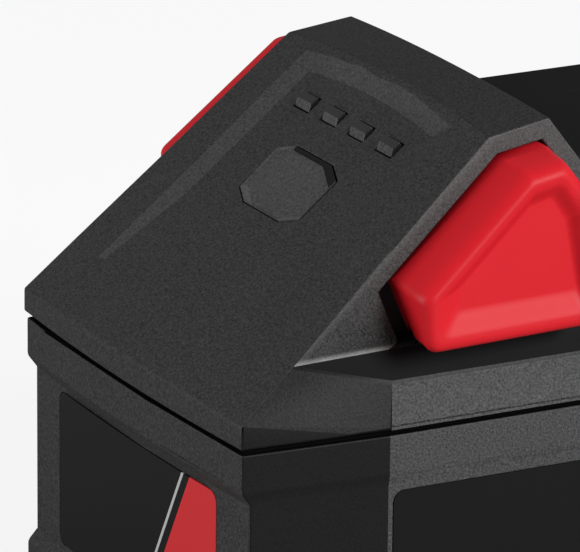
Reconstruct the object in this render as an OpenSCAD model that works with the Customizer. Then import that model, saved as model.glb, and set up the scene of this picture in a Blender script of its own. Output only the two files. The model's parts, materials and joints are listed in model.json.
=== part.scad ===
// Slide-on battery pack for cordless tools: two moulded case halves around ten cells,
// a sloped nose with a charge gauge, two release latches and a slide rail tower.
// Origin: bottom centre of the pack. X across, Y from the nose to the rear, Z up. Millimetres.

/* [Cells] */
// Diameter of one cell
cell_diameter = 21.2; // [18:0.1:22]
// Length of one cell with its contact
cell_length = 70; // [64:0.5:76]
// Height of the raised contact on a cell
cell_contact = 0.6; // [0.4:0.1:1]
// Play between a cell and its pocket, all round
cell_fit = 0.1; // [0.05:0.05:0.3]
// Least web between two pockets of a holder
cell_web = 0.4; // [0.3:0.1:1.5]
// Rim of a holder outside the last pockets
holder_rim = 1; // [0.8:0.1:2]
// How far a holder reaches along the cells
holder_depth = 14; // [10:0.5:20]
// Thickness of the nickel straps
strap_thickness = 0.3; // [0.2:0.05:0.5]
// How far a strap reaches past the middle of a cell
strap_reach = 7; // [5:0.5:9]
// Width of a strap's tab on the board
tab_width = 7; // [5:0.5:9]
// Thickness of the insulator sheets
sheet_thickness = 0.4; // [0.2:0.1:0.8]

/* [Case] */
// Wall of both case halves
wall = 2.4; // [2:0.1:3]
// Floor of the lower case
floor_thickness = 2.5; // [2:0.1:4]
// Shadow gap between the case halves
parting_gap = 1; // [0.6:0.1:1.6]
// How far the holders rise above the parting line
holder_rise = 1.5; // [0.5:0.1:2]
// Room between the insulator sheets and the case
side_room = 2.4; // [1.6:0.1:4]
// How far the lower walls stand back from the sides of the upper case
side_inset = 0.8; // [0.5:0.1:1.2]
// How far the lower walls stand back from the front and the rear of the upper case
front_inset = 2; // [1.5:0.1:3]
// How far the upper case stands out past the lower flange
overhang = 0.4; // [0.2:0.1:0.8]
// Height of the lower case's upper flange
flange_height = 6.6; // [5:0.1:8]
// Height of the bevel under that flange
flange_bevel = 2.2; // [1.5:0.1:3]
// Height of the base rim
rim_height = 6; // [4:0.5:8]
// Height of the bevel over the base rim
rim_bevel = 2; // [1:0.1:3]
// Bow of the front across its width
front_bow = 1.4; // [0.8:0.1:2.5]
// How far each side flares out from the front corner
corner_flare = 1.6; // [1:0.1:2.5]
// Length of the flared corner
corner_length = 26.2; // [22:0.2:30]
// Where the corner facet runs out at the parting line
corner_fade = 18.7; // [16:0.1:21]
// Cut of the two rear corners
rear_corner = 7; // [4:0.5:10]
// Height of the tongue that joins the case halves
tongue_height = 2.5; // [1.5:0.1:3]
// Outer wall that is left beside the tongue
tongue_wall = 1.2; // [1:0.05:1.4]
// Play beside the tongue
tongue_fit = 0.15; // [0.1:0.05:0.2]

/* [Deck] */
// Room for parts on the main board
part_room = 6.3; // [5.5:0.1:8]
// Drop of the sloped ledge round the deck
ledge_drop = 4.75; // [4:0.05:5.5]
// Width of that ledge from the widest line of the case
ledge_width = 3.8; // [3:0.1:4.5]
// How far the upper side panels lean in at the ledge
side_lean = 1.1; // [0.6:0.1:1.6]
// Height of the upright lip under those panels
side_lip = 0.6; // [0.3:0.1:1]
// How far the front edge of those panels leans back at the ledge
panel_rake = 0.6; // [0.2:0.1:1]

/* [Nose] */
// Height of the upright band under the slope
band_height = 4.07; // [3:0.05:6]
// Angle of the slope
slope_angle = 40.4; // [36:0.2:44]
// Level length of the slope
slope_run = 47.24; // [42:0.1:52]
// Crown of the slope across its width
slope_crown = 1.3; // [0.8:0.1:2]
// Level length of the nose's top
top_run = 11.25; // [9:0.25:14]
// Rise of the nose's top
top_rise = 1.5; // [0.5:0.1:2.5]
// Arch of the nose's top across its width
top_arch = 1.7; // [1:0.1:2.5]
// Level length of the nose's back slope
back_run = 7.5; // [6:0.5:10]
// Height of the nose's back slope
back_drop = 9.8; // [8:0.2:12]
// Turn of the nose's side walls in plan
nose_taper = 3.62; // [3:0.1:4.5]
// Lean of the nose's side walls
nose_lean = 3.3; // [2.5:0.1:4]
// Half width of the gauge recess at its top
recess_top = 25; // [22:0.5:27]
// Half width of the gauge recess at its foot
recess_foot = 29; // [27:0.5:31]
// Where the gauge recess starts, along the slope
recess_start = 11.3; // [9:0.1:14]
// Where the gauge recess ends, along the slope
recess_end = 60.2; // [58:0.1:61]
// Depth of the gauge recess at its top
recess_depth = 1.2; // [0.8:0.1:1.6]
// Run of the recess's side walls for each millimetre of depth
recess_spread = 4.3; // [3:0.1:5]
// Run of the recess's top wall for each millimetre of depth
recess_slant = 3; // [2:0.1:4]

/* [Gauge] */
// Width of the gauge button
button_width = 20.8; // [18:0.1:22]
// Length of the gauge button along the slope
button_length = 12.6; // [11:0.1:14]
// Corner cut of the gauge button across the slope
button_cut = 4.2; // [3:0.1:5]
// Corner cut of the gauge button along the slope
button_rise = 1.9; // [1.5:0.1:3]
// Middle of the gauge button along the slope
button_place = 38.4; // [37:0.1:40]
// Depth of the dish in the gauge button
button_dish = 0.6; // [0.3:0.1:0.8]
// Travel of the gauge button
button_travel = 0.6; // [0.4:0.05:0.7]
// Play round the gauge button
button_fit = 0.25; // [0.15:0.05:0.4]
// Spacing of the light windows
light_pitch = 9.53; // [8.5:0.1:10]
// Width of a light window
light_width = 5; // [4:0.1:6]
// Length of a light window along the slope
light_length = 2.8; // [2:0.1:3.5]
// Middle of the light windows along the slope
light_place = 52.4; // [51.5:0.1:53]
// Play round a light window
light_fit = 0.25; // [0.15:0.05:0.4]
// How far a light window stands out of the recess
light_height = 0.5; // [0.1:0.05:0.8]
// Thickness of the gauge board
gauge_board_thickness = 1.2; // [0.8:0.1:1.6]
// Room between the nose wall and the gauge board
gauge_room = 4.2; // [4:0.1:5]

/* [Latches] */
// Border of the nose wall round a latch opening
latch_border = 3.2; // [2.8:0.1:4]
// Front corner of a latch opening, from the front corner of the pack
latch_front = 25.9; // [24:0.1:28]
// Lean of the opening's front edge, along for each millimetre down
latch_rake = 0.416; // [0.3:0.01:0.5]
// Play between a latch and its opening
latch_fit = 0.5; // [0.3:0.05:0.8]
// How far a latch's face stands out from the nose's side wall
latch_stand = 9.3; // [8:0.1:10]
// Draft of a latch's sides between the wall and the face
latch_draft = 1.2; // [0.8:0.1:1.6]
// Width of the rim round a latch's dish
latch_rim = 1; // [0.6:0.1:1.5]
// Depth of the dish in a latch's face
latch_dish = 0.9; // [0.5:0.1:1.2]
// Travel of a latch
latch_travel = 3.5; // [3:0.1:4]
// Thickness of the flange that holds a latch in
latch_flange = 1.6; // [1.2:0.1:2]
// How far a hook reaches into the rail groove
hook_reach = 3.2; // [2.5:0.1:3.4]
// Length of a hook
hook_length = 6; // [5:0.5:8]
// Outer diameter of a latch spring
spring_diameter = 7; // [6:0.25:8]
// Wire of a latch spring
spring_wire = 0.8; // [0.6:0.05:0.9]
// Turns of a latch spring
spring_turns = 4; // [3:0.5:4.5]

/* [Rail tower] */
// Half width of the rails
rail_half = 24; // [22:0.5:25]
// Half width of the waist between the rail grooves
waist_half = 19; // [18.5:0.5:20]
// Height of the block under the rail grooves
rail_foot = 10.2; // [8:0.2:12]
// Height of the rail grooves
groove_height = 6.9; // [6:0.1:8]
// Height of the rails
rail_height = 6; // [5:0.2:7]
// Wall of the rail tower
tower_wall = 2; // [1.6:0.1:2.2]
// How far the tower stands back from the rear
tower_setback = 8; // [6:0.5:10]
// Bevel of the rails
rail_bevel = 1; // [0.5:0.1:1.5]
// Spacing of the terminals
terminal_pitch = 6.4; // [6:0.1:6.6]
// Width of a terminal slot in the case
slot_width = 2.6; // [2:0.1:3]
// Length of a terminal slot
slot_length = 22; // [18:0.5:23]
// Depth of a terminal slot
slot_depth = 15; // [12:0.5:17]
// Thickness of the terminal sheet
terminal_sheet = 0.8; // [0.5:0.1:0.9]
// Outer width of a terminal clip
terminal_width = 3; // [2.6:0.1:3.2]
// Length of the terminal block
block_length = 26; // [25:0.5:30]
// Play round a terminal in its block
terminal_fit = 0.3; // [0.2:0.05:0.4]
// Play between the terminal block and the tower
block_fit = 0.3; // [0.2:0.1:0.6]

/* [Boards and fasteners] */
// Thickness of the main board
board_thickness = 1.6; // [1:0.1:2]
// Half width of the main board
board_half = 30; // [29:0.5:31]
// Height of the posts under the main board
post_height = 1; // [0.8:0.1:1.5]
// Thread diameter of the case screws
screw_diameter = 3; // [2.5:0.1:3.2]
// Head diameter of the case screws
screw_head = 5.4; // [5:0.1:5.6]
// Head height of the case screws
screw_head_height = 2.2; // [1.8:0.1:3]
// Length of the case screws under the head
screw_length = 20; // [16:0.5:22]
// Height of the seat of the case screws
screw_seat = 28; // [24:0.5:30]
// Diameter of the screw posts in the case
boss_diameter = 7.4; // [7:0.1:8]
// How far a screw post sinks into the end wall
boss_bite = 1.5; // [1:0.1:2]
// Play round a screw head and its shank
screw_fit = 0.2; // [0.1:0.05:0.3]
// Thread diameter of the small board screws
small_screw = 2; // [1.6:0.1:2.2]
// Head diameter of the small board screws
small_head = 4; // [3.4:0.1:4.4]

/* [Labels] */
// Half width of the front label
label_half = 28.8; // [24:0.2:30]
// Half length of the side labels
side_label_half = 36; // [28:0.5:37]
// Gap from the flange bevel down to the labels
label_gap = 1; // [0.6:0.1:2]
// Corner radius of the labels
label_radius = 2; // [1:0.1:3]
// Thickness of the labels
label_thickness = 0.3; // [0.2:0.05:0.5]
// Play round a label in its recess
label_fit = 0.2; // [0.1:0.05:0.4]

/* [Hidden] */
columns = 5;
rows = 2;
fine = 64;
bow_facets = 1440;
far = 300;
cut = 1;
thin = 0.01;

// Cells and their holders
pocket = cell_diameter + 2 * cell_fit;
pitch = pocket + cell_web;
cell_half = (cell_length + cell_contact) / 2;
holder_length = (columns - 1) * pitch + pocket + 2 * holder_rim;
holder_height = (rows - 1) * pitch + pocket + 2 * holder_rim;
holder_top = floor_thickness + holder_height;

can_round = 0.7;
bead_place = 4.2;
bead_width = 1;
contact_radius = 5;
sheet_half = holder_length / 2 - holder_rim;
window = 15;
dimple_radius = 4;
tab_lap = 3;

// Case outline
boss_gap = 0.2;
end_room = boss_gap + boss_diameter - boss_bite;
end_length = holder_length / 2 + end_room + wall + front_inset;
mid_y = front_bow / 2;
front_y = mid_y - end_length;
rear_y = mid_y + end_length;
side_half = cell_half + strap_thickness + sheet_thickness + side_room + wall + side_inset;
front_half = side_half - corner_flare;
corner_y = front_y + corner_length;
bow_radius = (front_half * front_half + front_bow * front_bow) / (2 * front_bow);
bow_y = front_y - front_bow + bow_radius;
bow_room = 2;
parting_z = holder_top - holder_rise;
top_z = parting_z + parting_gap / 2;
low_z = parting_z - parting_gap / 2;
tongue_z = top_z + tongue_height;
ring_inner = front_inset + wall + tongue_fit;
flange_z = low_z - flange_height;
body_top = flange_z - flange_bevel;
body_foot = rim_height + rim_bevel;

// Boards and deck
board_z = holder_top + post_height;
board_top = board_z + board_thickness;
deck_z = board_top + part_room + wall;
edge_z = deck_z - ledge_drop;
board_inset = 4;
board_front = mid_y - holder_length / 2 + board_inset;
board_rear = mid_y + holder_length / 2 - board_inset;
post_radius = 2.6;
post_edge = 0.1;
board_post_y = 1.5 * pitch;
board_post_x = cell_half - holder_depth + post_radius + post_edge;
transistor_size = [6, 7.5, 2.3];
transistor_pitch = 8;
transistor_y = 2;
chip_size = [9, 9, 1.6];
chip_y = -14;
shunt_size = [8, 4, 1.2];
shunt_place = [-15, -32];
capacitor_size = [2, 3.2, 1.6];
capacitor_pitch = 4;
capacitor_place = [15, -30];
probe_radius = 1.5;
probe_length = 10;
probe_gap = 0.05;
lead_radius = 0.4;
lead_half = 3;

// Nose
slope_z = top_z + band_height;
crease_y = front_y + slope_run;
crease_z = slope_z + slope_run * tan(slope_angle);
peak_y = crease_y + top_run;
peak_z = crease_z + top_rise;
back_y = peak_y + back_run;
back_z = peak_z - back_drop;
slope_half = front_half - slope_run * tan(nose_taper) / 2 - (crease_z - slope_z) * tan(nose_lean) / 2;
top_half = front_half - slope_run * tan(nose_taper) - (crease_z - slope_z) * tan(nose_lean);
slope_radius = (slope_half * slope_half + slope_crown * slope_crown) / (2 * slope_crown);
top_radius = (top_half * top_half + top_arch * top_arch) / (2 * top_arch);
top_angle = atan2(top_rise, top_run);
nose_corner = [front_half, front_y, slope_z];
nose_normal = [cos(nose_taper) * cos(nose_lean), sin(nose_taper) * cos(nose_lean), sin(nose_lean)];
slope_normal = [0, -sin(slope_angle), cos(slope_angle)];
fade_point = [front_half + corner_flare * corner_fade / corner_length, front_y + corner_fade, top_z];
nose_edge = cross(slope_normal, nose_normal);
nose_tip = nose_corner + nose_edge * (deck_z - slope_z) / nose_edge.z;
panel_top = panel_front(side_half - side_lean, edge_z);
deck_corner = panel_front(side_half - ledge_width, deck_z);
facet_normal = unit(cross(fade_point - nose_corner, panel_top - nose_corner));
upper_normal = unit(cross(panel_top - nose_corner, nose_tip - nose_corner));
ledge_normal = unit(cross(deck_corner - panel_top, nose_tip - panel_top));

// Gauge
gauge_board_w = -wall - gauge_room;
recess_lead = 4;
lens_thickness = 1.6;
lens_border = 1.2;
dish_rim = 0.2;
foot_rim = 0.6;
plunger_rise = 0.9;
plunger_floor = 0.2;
thread_play = 0.05;
light_size = [3, 1.8, 1];
switch_size = [6, 6, 1.5];
plunger_radius = 1.6;
plunger_fit = 0.15;
button_lip = 1.2;
button_lip_width = 1.2;
lip_gap = 0.2;
button_bottom = -wall - lip_gap - button_lip;
button_top = recess_floor(button_place);
gauge_post = [16.4, 33.5, 59];
gauge_board_half = 19.6;
gauge_board_ends = [29.5, 62];
head_height = 1.4;
small_length = 4;

// Cable between the boards: its two ends as [y, z]
socket_size = [9, 4, 3];
socket_inset = 3;
socket_v = gauge_board_ends[0] + socket_inset;
socket_w = gauge_board_w - gauge_board_thickness - socket_size.z;
cable_half = 3.5;
cable_thickness = 0.8;
cable_lead = 3;
cable_sag = 0.6;
gauge_end = [
    front_y + socket_v * cos(slope_angle) - socket_w * sin(slope_angle),
    slope_z + socket_v * sin(slope_angle) + socket_w * cos(slope_angle)];
board_end = [gauge_end.x + cable_lead, board_top + socket_size.z];

// Latches and their springs
opening_lift = 0.1;
opening_foot = deck_z + opening_lift;
latch_foot_gap = 0.5;
face_lift = 0.7;
stem_lead = 2;
face_lead = 0.9;
floor_lead = 2.4;
face_rake = 0.1;
dish_rake = 0.3;
paddle_sink = 3.5;
paddle_start = front_half - paddle_sink;
wall_gap = 0.25;
flange_shift = 2.6;
spring_run = 45;
spring_rise = 11.5;
spring_y = front_y + spring_run;
spring_z = deck_z + spring_rise;
seat_rim = 1;
seat_rise = 1.55;
seat_height = 3.6;
spring_seat = spring_diameter + 2 * seat_rim;
pin_play = 0.4;
pin_diameter = spring_diameter - 2 * spring_wire - 2 * pin_play;
spring_play = 0.05;
latch_pin = 1.8;
rib_pin = 1.2;
pin_gap = 1.1;
rib_thickness = 2;
wall_x = front_half - spring_run * tan(nose_taper) - (spring_z - slope_z) * tan(nose_lean);
spring_face = wall_x - wall - wall_gap - latch_flange - seat_rise;
rib_x = spring_face - latch_travel - latch_pin - pin_gap - rib_pin - rib_thickness;

// Rail tower and hooks
groove_foot = deck_z + rail_foot;
groove_top = groove_foot + groove_height;
tower_top = groove_top + rail_height;
tower_rear = rear_y - tower_setback;
hook_fit = 0.7;
hook_gap = 3;
hook_foot = groove_foot + hook_fit;
hook_top = groove_top - hook_fit;
hook_y = back_y + hook_gap;
hook_end = hook_y + hook_length;
arm_thickness = 4;
arm_width = 5.4;
arm_gap = 2.6;
arm_half = waist_half - tower_wall - hook_fit - arm_thickness;
arm_end = back_y - wall - arm_gap;
arm_y = arm_end - arm_width;

// Terminals
block_rear = tower_rear - tower_wall - block_fit;
block_front = block_rear - block_length;
block_half = waist_half - tower_wall - block_fit;
block_top = tower_top - tower_wall - block_fit;
clip_foot = tower_top - slot_depth - terminal_sheet;
clip_end = 1;
clip_drop = 2;
clip_length = slot_length - tower_wall - clip_end;
clip_height = slot_depth - tower_wall - clip_drop;
pin_width = 1;
pin_length = 3;

// Screw posts
boss_x = 30;
boss_y = holder_length / 2 + boss_gap + boss_diameter / 2;
head_cover = 6;
boss_split = screw_seat + head_cover;

// Labels
label_top = body_top - label_gap;
label_foot = body_foot + label_gap;
label_height = label_top - label_foot;
body_half = side_half - side_inset;

// Unit vector along v
function unit(v) = v / norm(v);

// Outward normal of the edge from p to q of an outline that runs counter-clockwise
function edge_normal(p, q) = [q.y - p.y, p.x - q.x] / norm(q - p);

// Outline drawn inward by d on every edge
function inset(points, d) = let (n = len(points)) [for (i = [0 : n - 1])
    let (a = points[(i + n - 1) % n], b = points[i], c = points[(i + 1) % n])
    let (m = edge_normal(a, b), k = edge_normal(b, c))
    b - d * (m + k) / (1 + m * k)];

// Middle of a column of cells along Y
function column_y(i) = mid_y + (i - (columns - 1) / 2) * pitch;

// Middle of a row of cells above the base
function row_z(i) = floor_thickness + holder_rim + pocket / 2 + i * pitch;

// Plan of the pack, drawn in by side at the flanks and by end at the rear
function plan_outline(side, end) = let (
    lead = front_bow + bow_room,
    nose = front_half - side - corner_flare * lead / corner_length,
    flank = side_half - side,
    turn = tan(22.5)) [
    [-nose, front_y - lead],
    [nose, front_y - lead],
    [flank, corner_y],
    [flank, rear_y - rear_corner - turn * end],
    [side_half - rear_corner - turn * side, rear_y - end],
    [turn * side + rear_corner - side_half, rear_y - end],
    [-flank, rear_y - rear_corner - turn * end],
    [-flank, corner_y]];

// Point in the plane of the upper side panels' front edges
function panel_front(x, z) = [x, corner_y + panel_rake * (z - top_z) / (edge_z - top_z), z];

// Cross section of the deck with its leaning sides and its two ledges, open below foot
function ledge_profile(foot) = let (
    lip_z = top_z + side_lip,
    low = side_half + side_lean * (lip_z - foot) / (edge_z - lip_z)) [
    [-low, foot],
    [low, foot],
    [side_half - side_lean, edge_z],
    [side_half - ledge_width, deck_z],
    [ledge_width - side_half, deck_z],
    [side_lean - side_half, edge_z]];

// Lengthwise section of the deck with its rear ledge
function deck_profile(foot) = let (lead = front_bow + 3 * bow_room) [
    [front_y - lead, foot],
    [rear_y, foot],
    [rear_y, edge_z],
    [rear_y - ledge_width, deck_z],
    [front_y - lead, deck_z]];

// Lengthwise section of the nose along its side edges
function nose_profile(foot) = [
    [front_y, foot],
    [back_y, foot],
    [back_y, back_z],
    [peak_y, peak_z],
    [crease_y, crease_z],
    [front_y, slope_z]];

// Section of the rail tower
function tower_profile(foot) = let (right = [
    [rail_half, foot],
    [rail_half, groove_foot],
    [waist_half, groove_foot],
    [waist_half, groove_top],
    [rail_half, groove_top],
    [rail_half, tower_top]])
    concat(right, [for (i = [len(right) - 1 : -1 : 0]) [-right[i].x, right[i].y]]);

// Height of the gauge recess's floor over the slope's chord, at a place along the slope
function recess_floor(v) = slope_crown
    - recess_depth * (v - recess_start) / (recess_end - recess_start);

// Outline of a latch opening above foot, drawn inward by d, with its front edge set back by lead
function latch_outline(foot, d, lead, rake) = let (
    hood = inset(nose_profile(foot), latch_border),
    front = latch_front + lead,
    front_z = slope_z + front * tan(slope_angle) - latch_border / cos(slope_angle),
    low = foot - d)
    inset([
        [front_y + front + (front_z - low) * rake, low],
        [hood[2].x, low],
        hood[2],
        hood[3],
        hood[4],
        [front_y + front, front_z]], d);

// The same outline as seen in the frame of the nose's side wall
function face_outline(foot, d, lead, rake) = [
    for (p = latch_outline(foot, d, lead, rake)) p - [front_y, slope_z]];

// Outline of the gauge button, drawn inward by d
function button_outline(d) = let (
    w = button_width / 2,
    h = button_length / 2) inset([
    [-w, button_rise - h], [button_cut - w, -h], [w - button_cut, -h], [w, button_rise - h],
    [w, h - button_rise], [w - button_cut, h], [button_cut - w, h], [-w, h - button_rise]], d);

// Point at t on the bend between two ends, and its direction there
function bend(p, t) = pow(1 - t, 3) * p[0] + 3 * pow(1 - t, 2) * t * p[1]
    + 3 * (1 - t) * t * t * p[2] + t * t * t * p[3];
function bend_way(p, t) = pow(1 - t, 2) * (p[1] - p[0]) + 2 * (1 - t) * t * (p[2] - p[1])
    + t * t * (p[3] - p[2]);

// Both mirrored copies of a shape
module both_sides() {
    children();
    mirror([1, 0, 0]) children();
}

// Extrudes a (y, z) outline along X
module along_x(x0, x1) {
    translate([x0, 0, 0]) rotate([90, 0, 90]) linear_extrude(x1 - x0) children();
}

// Extrudes an (x, z) outline along Y
module along_y(y0, y1) {
    translate([0, y1, 0]) rotate([90, 0, 0]) linear_extrude(y1 - y0) children();
}

// Block between two opposite corners
module box(low, high) {
    translate(low) cube(high - low);
}

// All space on the outer side of a plane
module outside(point, normal) {
    translate(point) rotate([0, -asin(normal.z), atan2(normal.y, normal.x)])
        translate([0, -far / 2, -far / 2]) cube(far);
}

// Frame on the slope: X across, Y up the slope, Z out of it
module on_slope() {
    translate([0, front_y, slope_z]) rotate([slope_angle, 0, 0]) children();
}

// Frame on the nose's right side wall: X out of it, Y along it, Z up it
module on_side_wall() {
    translate(nose_corner) rotate([0, -asin(nose_normal.z), atan2(nose_normal.y, nose_normal.x)]) children();
}

// Flat rectangle with round corners
module rounded(width, height, radius) {
    square([width - 2 * radius, height], center = true);
    square([width, height - 2 * radius], center = true);
    for (x = [-1, 1], y = [-1, 1]) {
        translate([x * (width / 2 - radius), y * (height / 2 - radius)]) circle(r = radius, $fn = fine);
    }
}

// Block of the pack's plan with its bowed front
module plan_block(side, front, z0, z1) {
    intersection() {
        translate([0, 0, z0]) linear_extrude(z1 - z0) polygon(plan_outline(side, front));
        translate([0, bow_y, z0 - cut])
            cylinder(r = bow_radius - front, h = z1 - z0 + 2 * cut, $fn = bow_facets);
    }
}

// Places of the four case screws
module at_screws() {
    for (x = [-boss_x, boss_x], y = [mid_y - boss_y, mid_y + boss_y]) {
        translate([x, y, 0]) children();
    }
}

// Places of the four gauge board screws, in the slope's frame
module at_gauge_screws() {
    for (x = [-gauge_post.x, gauge_post.x], v = [gauge_post.y, gauge_post.z]) {
        translate([x, v, 0]) children();
    }
}

// Places of the four main board screws
module at_board_screws() {
    for (x = [-board_post_x, board_post_x], y = [-board_post_y, board_post_y]) {
        translate([x, mid_y + y, 0]) children();
    }
}

// Roll that crowns the slope across its width, lowered by d
module slope_roll(d) {
    on_slope() translate([0, -far / 4, slope_crown - slope_radius])
        rotate([-90, 0, 0]) cylinder(r = slope_radius - d, h = far, $fn = bow_facets);
}

// Space ahead of the upper side panels and of a gap d behind their front edges
module ahead_of_panels(d, foot) {
    low = panel_front(0, foot - cut);
    high = panel_front(0, deck_z + cut);
    along_x(-far / 2, far / 2) polygon([
        [front_y - far / 2, low.z],
        [low.y + d, low.z],
        [high.y + d, high.z],
        [front_y - far / 2, high.z]]);
}

// Deck of the upper case, drawn in by d and open below foot
module deck_solid(d, foot) {
    difference() {
        intersection() {
            plan_block(d, d, foot, deck_z - d);
            union() {
                along_y(front_y - far / 2, rear_y + far / 2) polygon(inset(ledge_profile(foot - d), d));
                difference() {
                    ahead_of_panels(d, foot);
                    both_sides() outside(nose_tip - d * ledge_normal, ledge_normal);
                }
            }
            along_x(-far / 2, far / 2) polygon(inset(deck_profile(foot - d), d));
            slope_roll(d);
        }
        both_sides() intersection() {
            union() {
                outside(nose_corner - d * facet_normal, facet_normal);
                outside(nose_corner - d * upper_normal, upper_normal);
            }
            ahead_of_panels(d, foot);
        }
    }
}

// Nose of the upper case with its crowned slope and arched top
module nose_solid() {
    back = unit([peak_y - back_y, peak_z - back_z]);
    lead = front_bow + bow_room;
    lift = 2 * top_arch + 2;
    difference() {
        intersection() {
            along_x(-far / 2, far / 2) polygon([
                [front_y - lead, top_z],
                [back_y, top_z],
                [back_y, back_z],
                [peak_y, peak_z] + lift * back,
                [front_y - lead, peak_z + lift * back.y]]);
            plan_block(0, 0, top_z, peak_z + 2 * lift);
            slope_roll(0);
            translate([0, crease_y, crease_z]) rotate([top_angle, 0, 0])
                translate([0, -far / 2, top_arch - top_radius])
                    rotate([-90, 0, 0]) cylinder(r = top_radius, h = far, $fn = bow_facets);
        }
        both_sides() outside(nose_corner, nose_normal);
    }
}

// Space inside the nose, open below
module nose_cavity() {
    difference() {
        along_x(-far / 2, far / 2) polygon(inset(nose_profile(top_z - 2 * wall), wall));
        both_sides() outside(nose_corner - wall * nose_normal, nose_normal);
    }
}

// Shallow recess on the slope round the gauge
module gauge_recess() {
    tilt = atan2(recess_depth, recess_end - recess_start);
    edge = slope_crown / 2;
    rim = [recess_foot - recess_top, recess_start - recess_end, 0];
    side_normal = unit(cross([recess_spread, 0, 1], rim));
    top_normal = unit([0, 1, -recess_slant]);
    on_slope() difference() {
        translate([0, recess_start, slope_crown]) rotate([-tilt, 0, 0]) difference() {
            translate([-far / 4, -recess_lead, -2 * wall]) cube([far / 2, far / 2, 4 * wall]);
            translate([0, -far / 4, -slope_radius])
                rotate([-90, 0, 0]) cylinder(r = slope_radius, h = far, $fn = bow_facets);
        }
        both_sides() outside([recess_top, recess_end, edge], side_normal);
        outside([0, recess_end, edge], top_normal);
    }
}

// Ribs and posts inside the upper case that carry springs, gauge board and screws
module top_case_ribs() {
    rib_half = spring_seat / 2 + seat_rim;
    both_sides() intersection() {
        along_x(rib_x, rib_x + rib_thickness) polygon(inset(nose_profile(top_z), wall / 2));
        box([0, spring_y - rib_half, spring_z - rib_half], [far, spring_y + rib_half, far]);
    }
    both_sides() translate([rib_x + rib_thickness - cut, spring_y, spring_z]) rotate([0, 90, 0])
        cylinder(d = pin_diameter, h = rib_pin + cut, $fn = fine);
    on_slope() at_gauge_screws() translate([0, 0, gauge_board_w])
        cylinder(r = post_radius, h = gauge_room + wall / 2, $fn = fine);
    intersection() {
        at_screws() translate([0, 0, boss_split]) cylinder(d = boss_diameter, h = far, $fn = fine);
        union() {
            deck_solid(wall / 2, tongue_z);
            plan_block(ring_inner, ring_inner, boss_split, tongue_z);
        }
    }
}

// Rail tower with its bevelled rails
module tower_solid() {
    difference() {
        along_y(back_y - wall / 2, tower_rear) polygon(tower_profile(deck_z - wall / 2));
        both_sides() outside([rail_half - rail_bevel, 0, tower_top], unit([1, 0, 1]));
    }
}

// Hollow of the rail tower, open to the nose and below
module tower_hollow() {
    foot = deck_z - 2 * wall - tower_wall;
    along_y(back_y - 2 * wall, tower_rear - tower_wall) polygon(inset(tower_profile(foot), tower_wall));
}

// Holes in the slope for the button, the light windows and the board's screws
module gauge_holes() {
    hole = [light_width + 2 * light_fit, light_length + 2 * light_fit, 4 * wall];
    on_slope() {
        translate([0, button_place, -2 * wall]) linear_extrude(4 * wall)
            polygon(button_outline(-button_fit));
        for (i = [-1.5 : 1.5]) {
            translate([i * light_pitch, light_place, 0]) cube(hole, center = true);
        }
        at_gauge_screws() translate([0, 0, gauge_board_w - cut])
            cylinder(d = small_screw + 2 * thread_play, h = small_length + cut, $fn = fine);
    }
}

// Ring that takes the lower case's tongue, from outer inward
module tongue_ring(outer, foot) {
    difference() {
        plan_block(outer, outer, foot, tongue_z);
        plan_block(ring_inner, ring_inner, foot - cut, tongue_z + cut);
    }
}

// Upper case: deck, nose, rail tower, gauge holes, latch openings and screw posts
module top_case() {
    pilot = screw_seat + screw_length + cut - boss_split;
    color("#333333") difference() {
        union() {
            difference() {
                union() {
                    deck_solid(0, top_z);
                    nose_solid();
                    tower_solid();
                }
                deck_solid(wall, top_z - 2 * wall);
                nose_cavity();
                tower_hollow();
                gauge_recess();
            }
            top_case_ribs();
        }
        tongue_ring(tongue_wall, top_z - cut);
        both_sides() along_x(spring_face - wall, far) polygon(latch_outline(opening_foot, 0, 0, latch_rake));
        both_sides() box([waist_half - 2 * tower_wall, hook_y - hook_fit, groove_foot],
            [rail_half, hook_end + hook_fit, groove_top]);
        gauge_holes();
        for (i = [-2 : 2]) {
            box([i * terminal_pitch - slot_width / 2, tower_rear - slot_length, tower_top - slot_depth],
                [i * terminal_pitch + slot_width / 2, tower_rear + cut, tower_top + cut]);
        }
        at_screws() translate([0, 0, boss_split - cut])
            cylinder(d = screw_diameter + 2 * thread_play, h = pilot + cut, $fn = fine);
    }
}

// Outer form of the lower case: base rim, body, bevels and flange
module lower_form() {
    plan_block(overhang, overhang, 0, rim_height);
    hull() {
        plan_block(overhang, overhang, rim_height - thin, rim_height);
        plan_block(side_inset, front_inset, body_foot, body_foot + thin);
    }
    plan_block(side_inset, front_inset, body_foot, body_top);
    hull() {
        plan_block(side_inset, front_inset, body_top - thin, body_top);
        plan_block(overhang, overhang, flange_z, flange_z + thin);
    }
    plan_block(overhang, overhang, flange_z, low_z);
}

// Lower case: tub with flange, tongue, label recesses and screw posts
module lower_case() {
    color("#2b2b2b") difference() {
        union() {
            difference() {
                union() {
                    lower_form();
                    plan_block(tongue_wall + tongue_fit, tongue_wall + tongue_fit, low_z - cut, tongue_z);
                }
                plan_block(side_inset + wall, front_inset + wall, floor_thickness, tongue_z + cut);
            }
            at_screws() cylinder(d = boss_diameter, h = boss_split - boss_gap, $fn = fine);
        }
        at_screws() {
            translate([0, 0, -cut])
                cylinder(d = screw_head + 2 * screw_fit, h = screw_seat + cut, $fn = fine);
            cylinder(d = screw_diameter + 2 * screw_fit, h = far, $fn = fine);
        }
        front_label_space(label_fit, label_thickness + cut);
        both_sides() side_label_space(label_fit, label_thickness + cut);
    }
}

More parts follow.
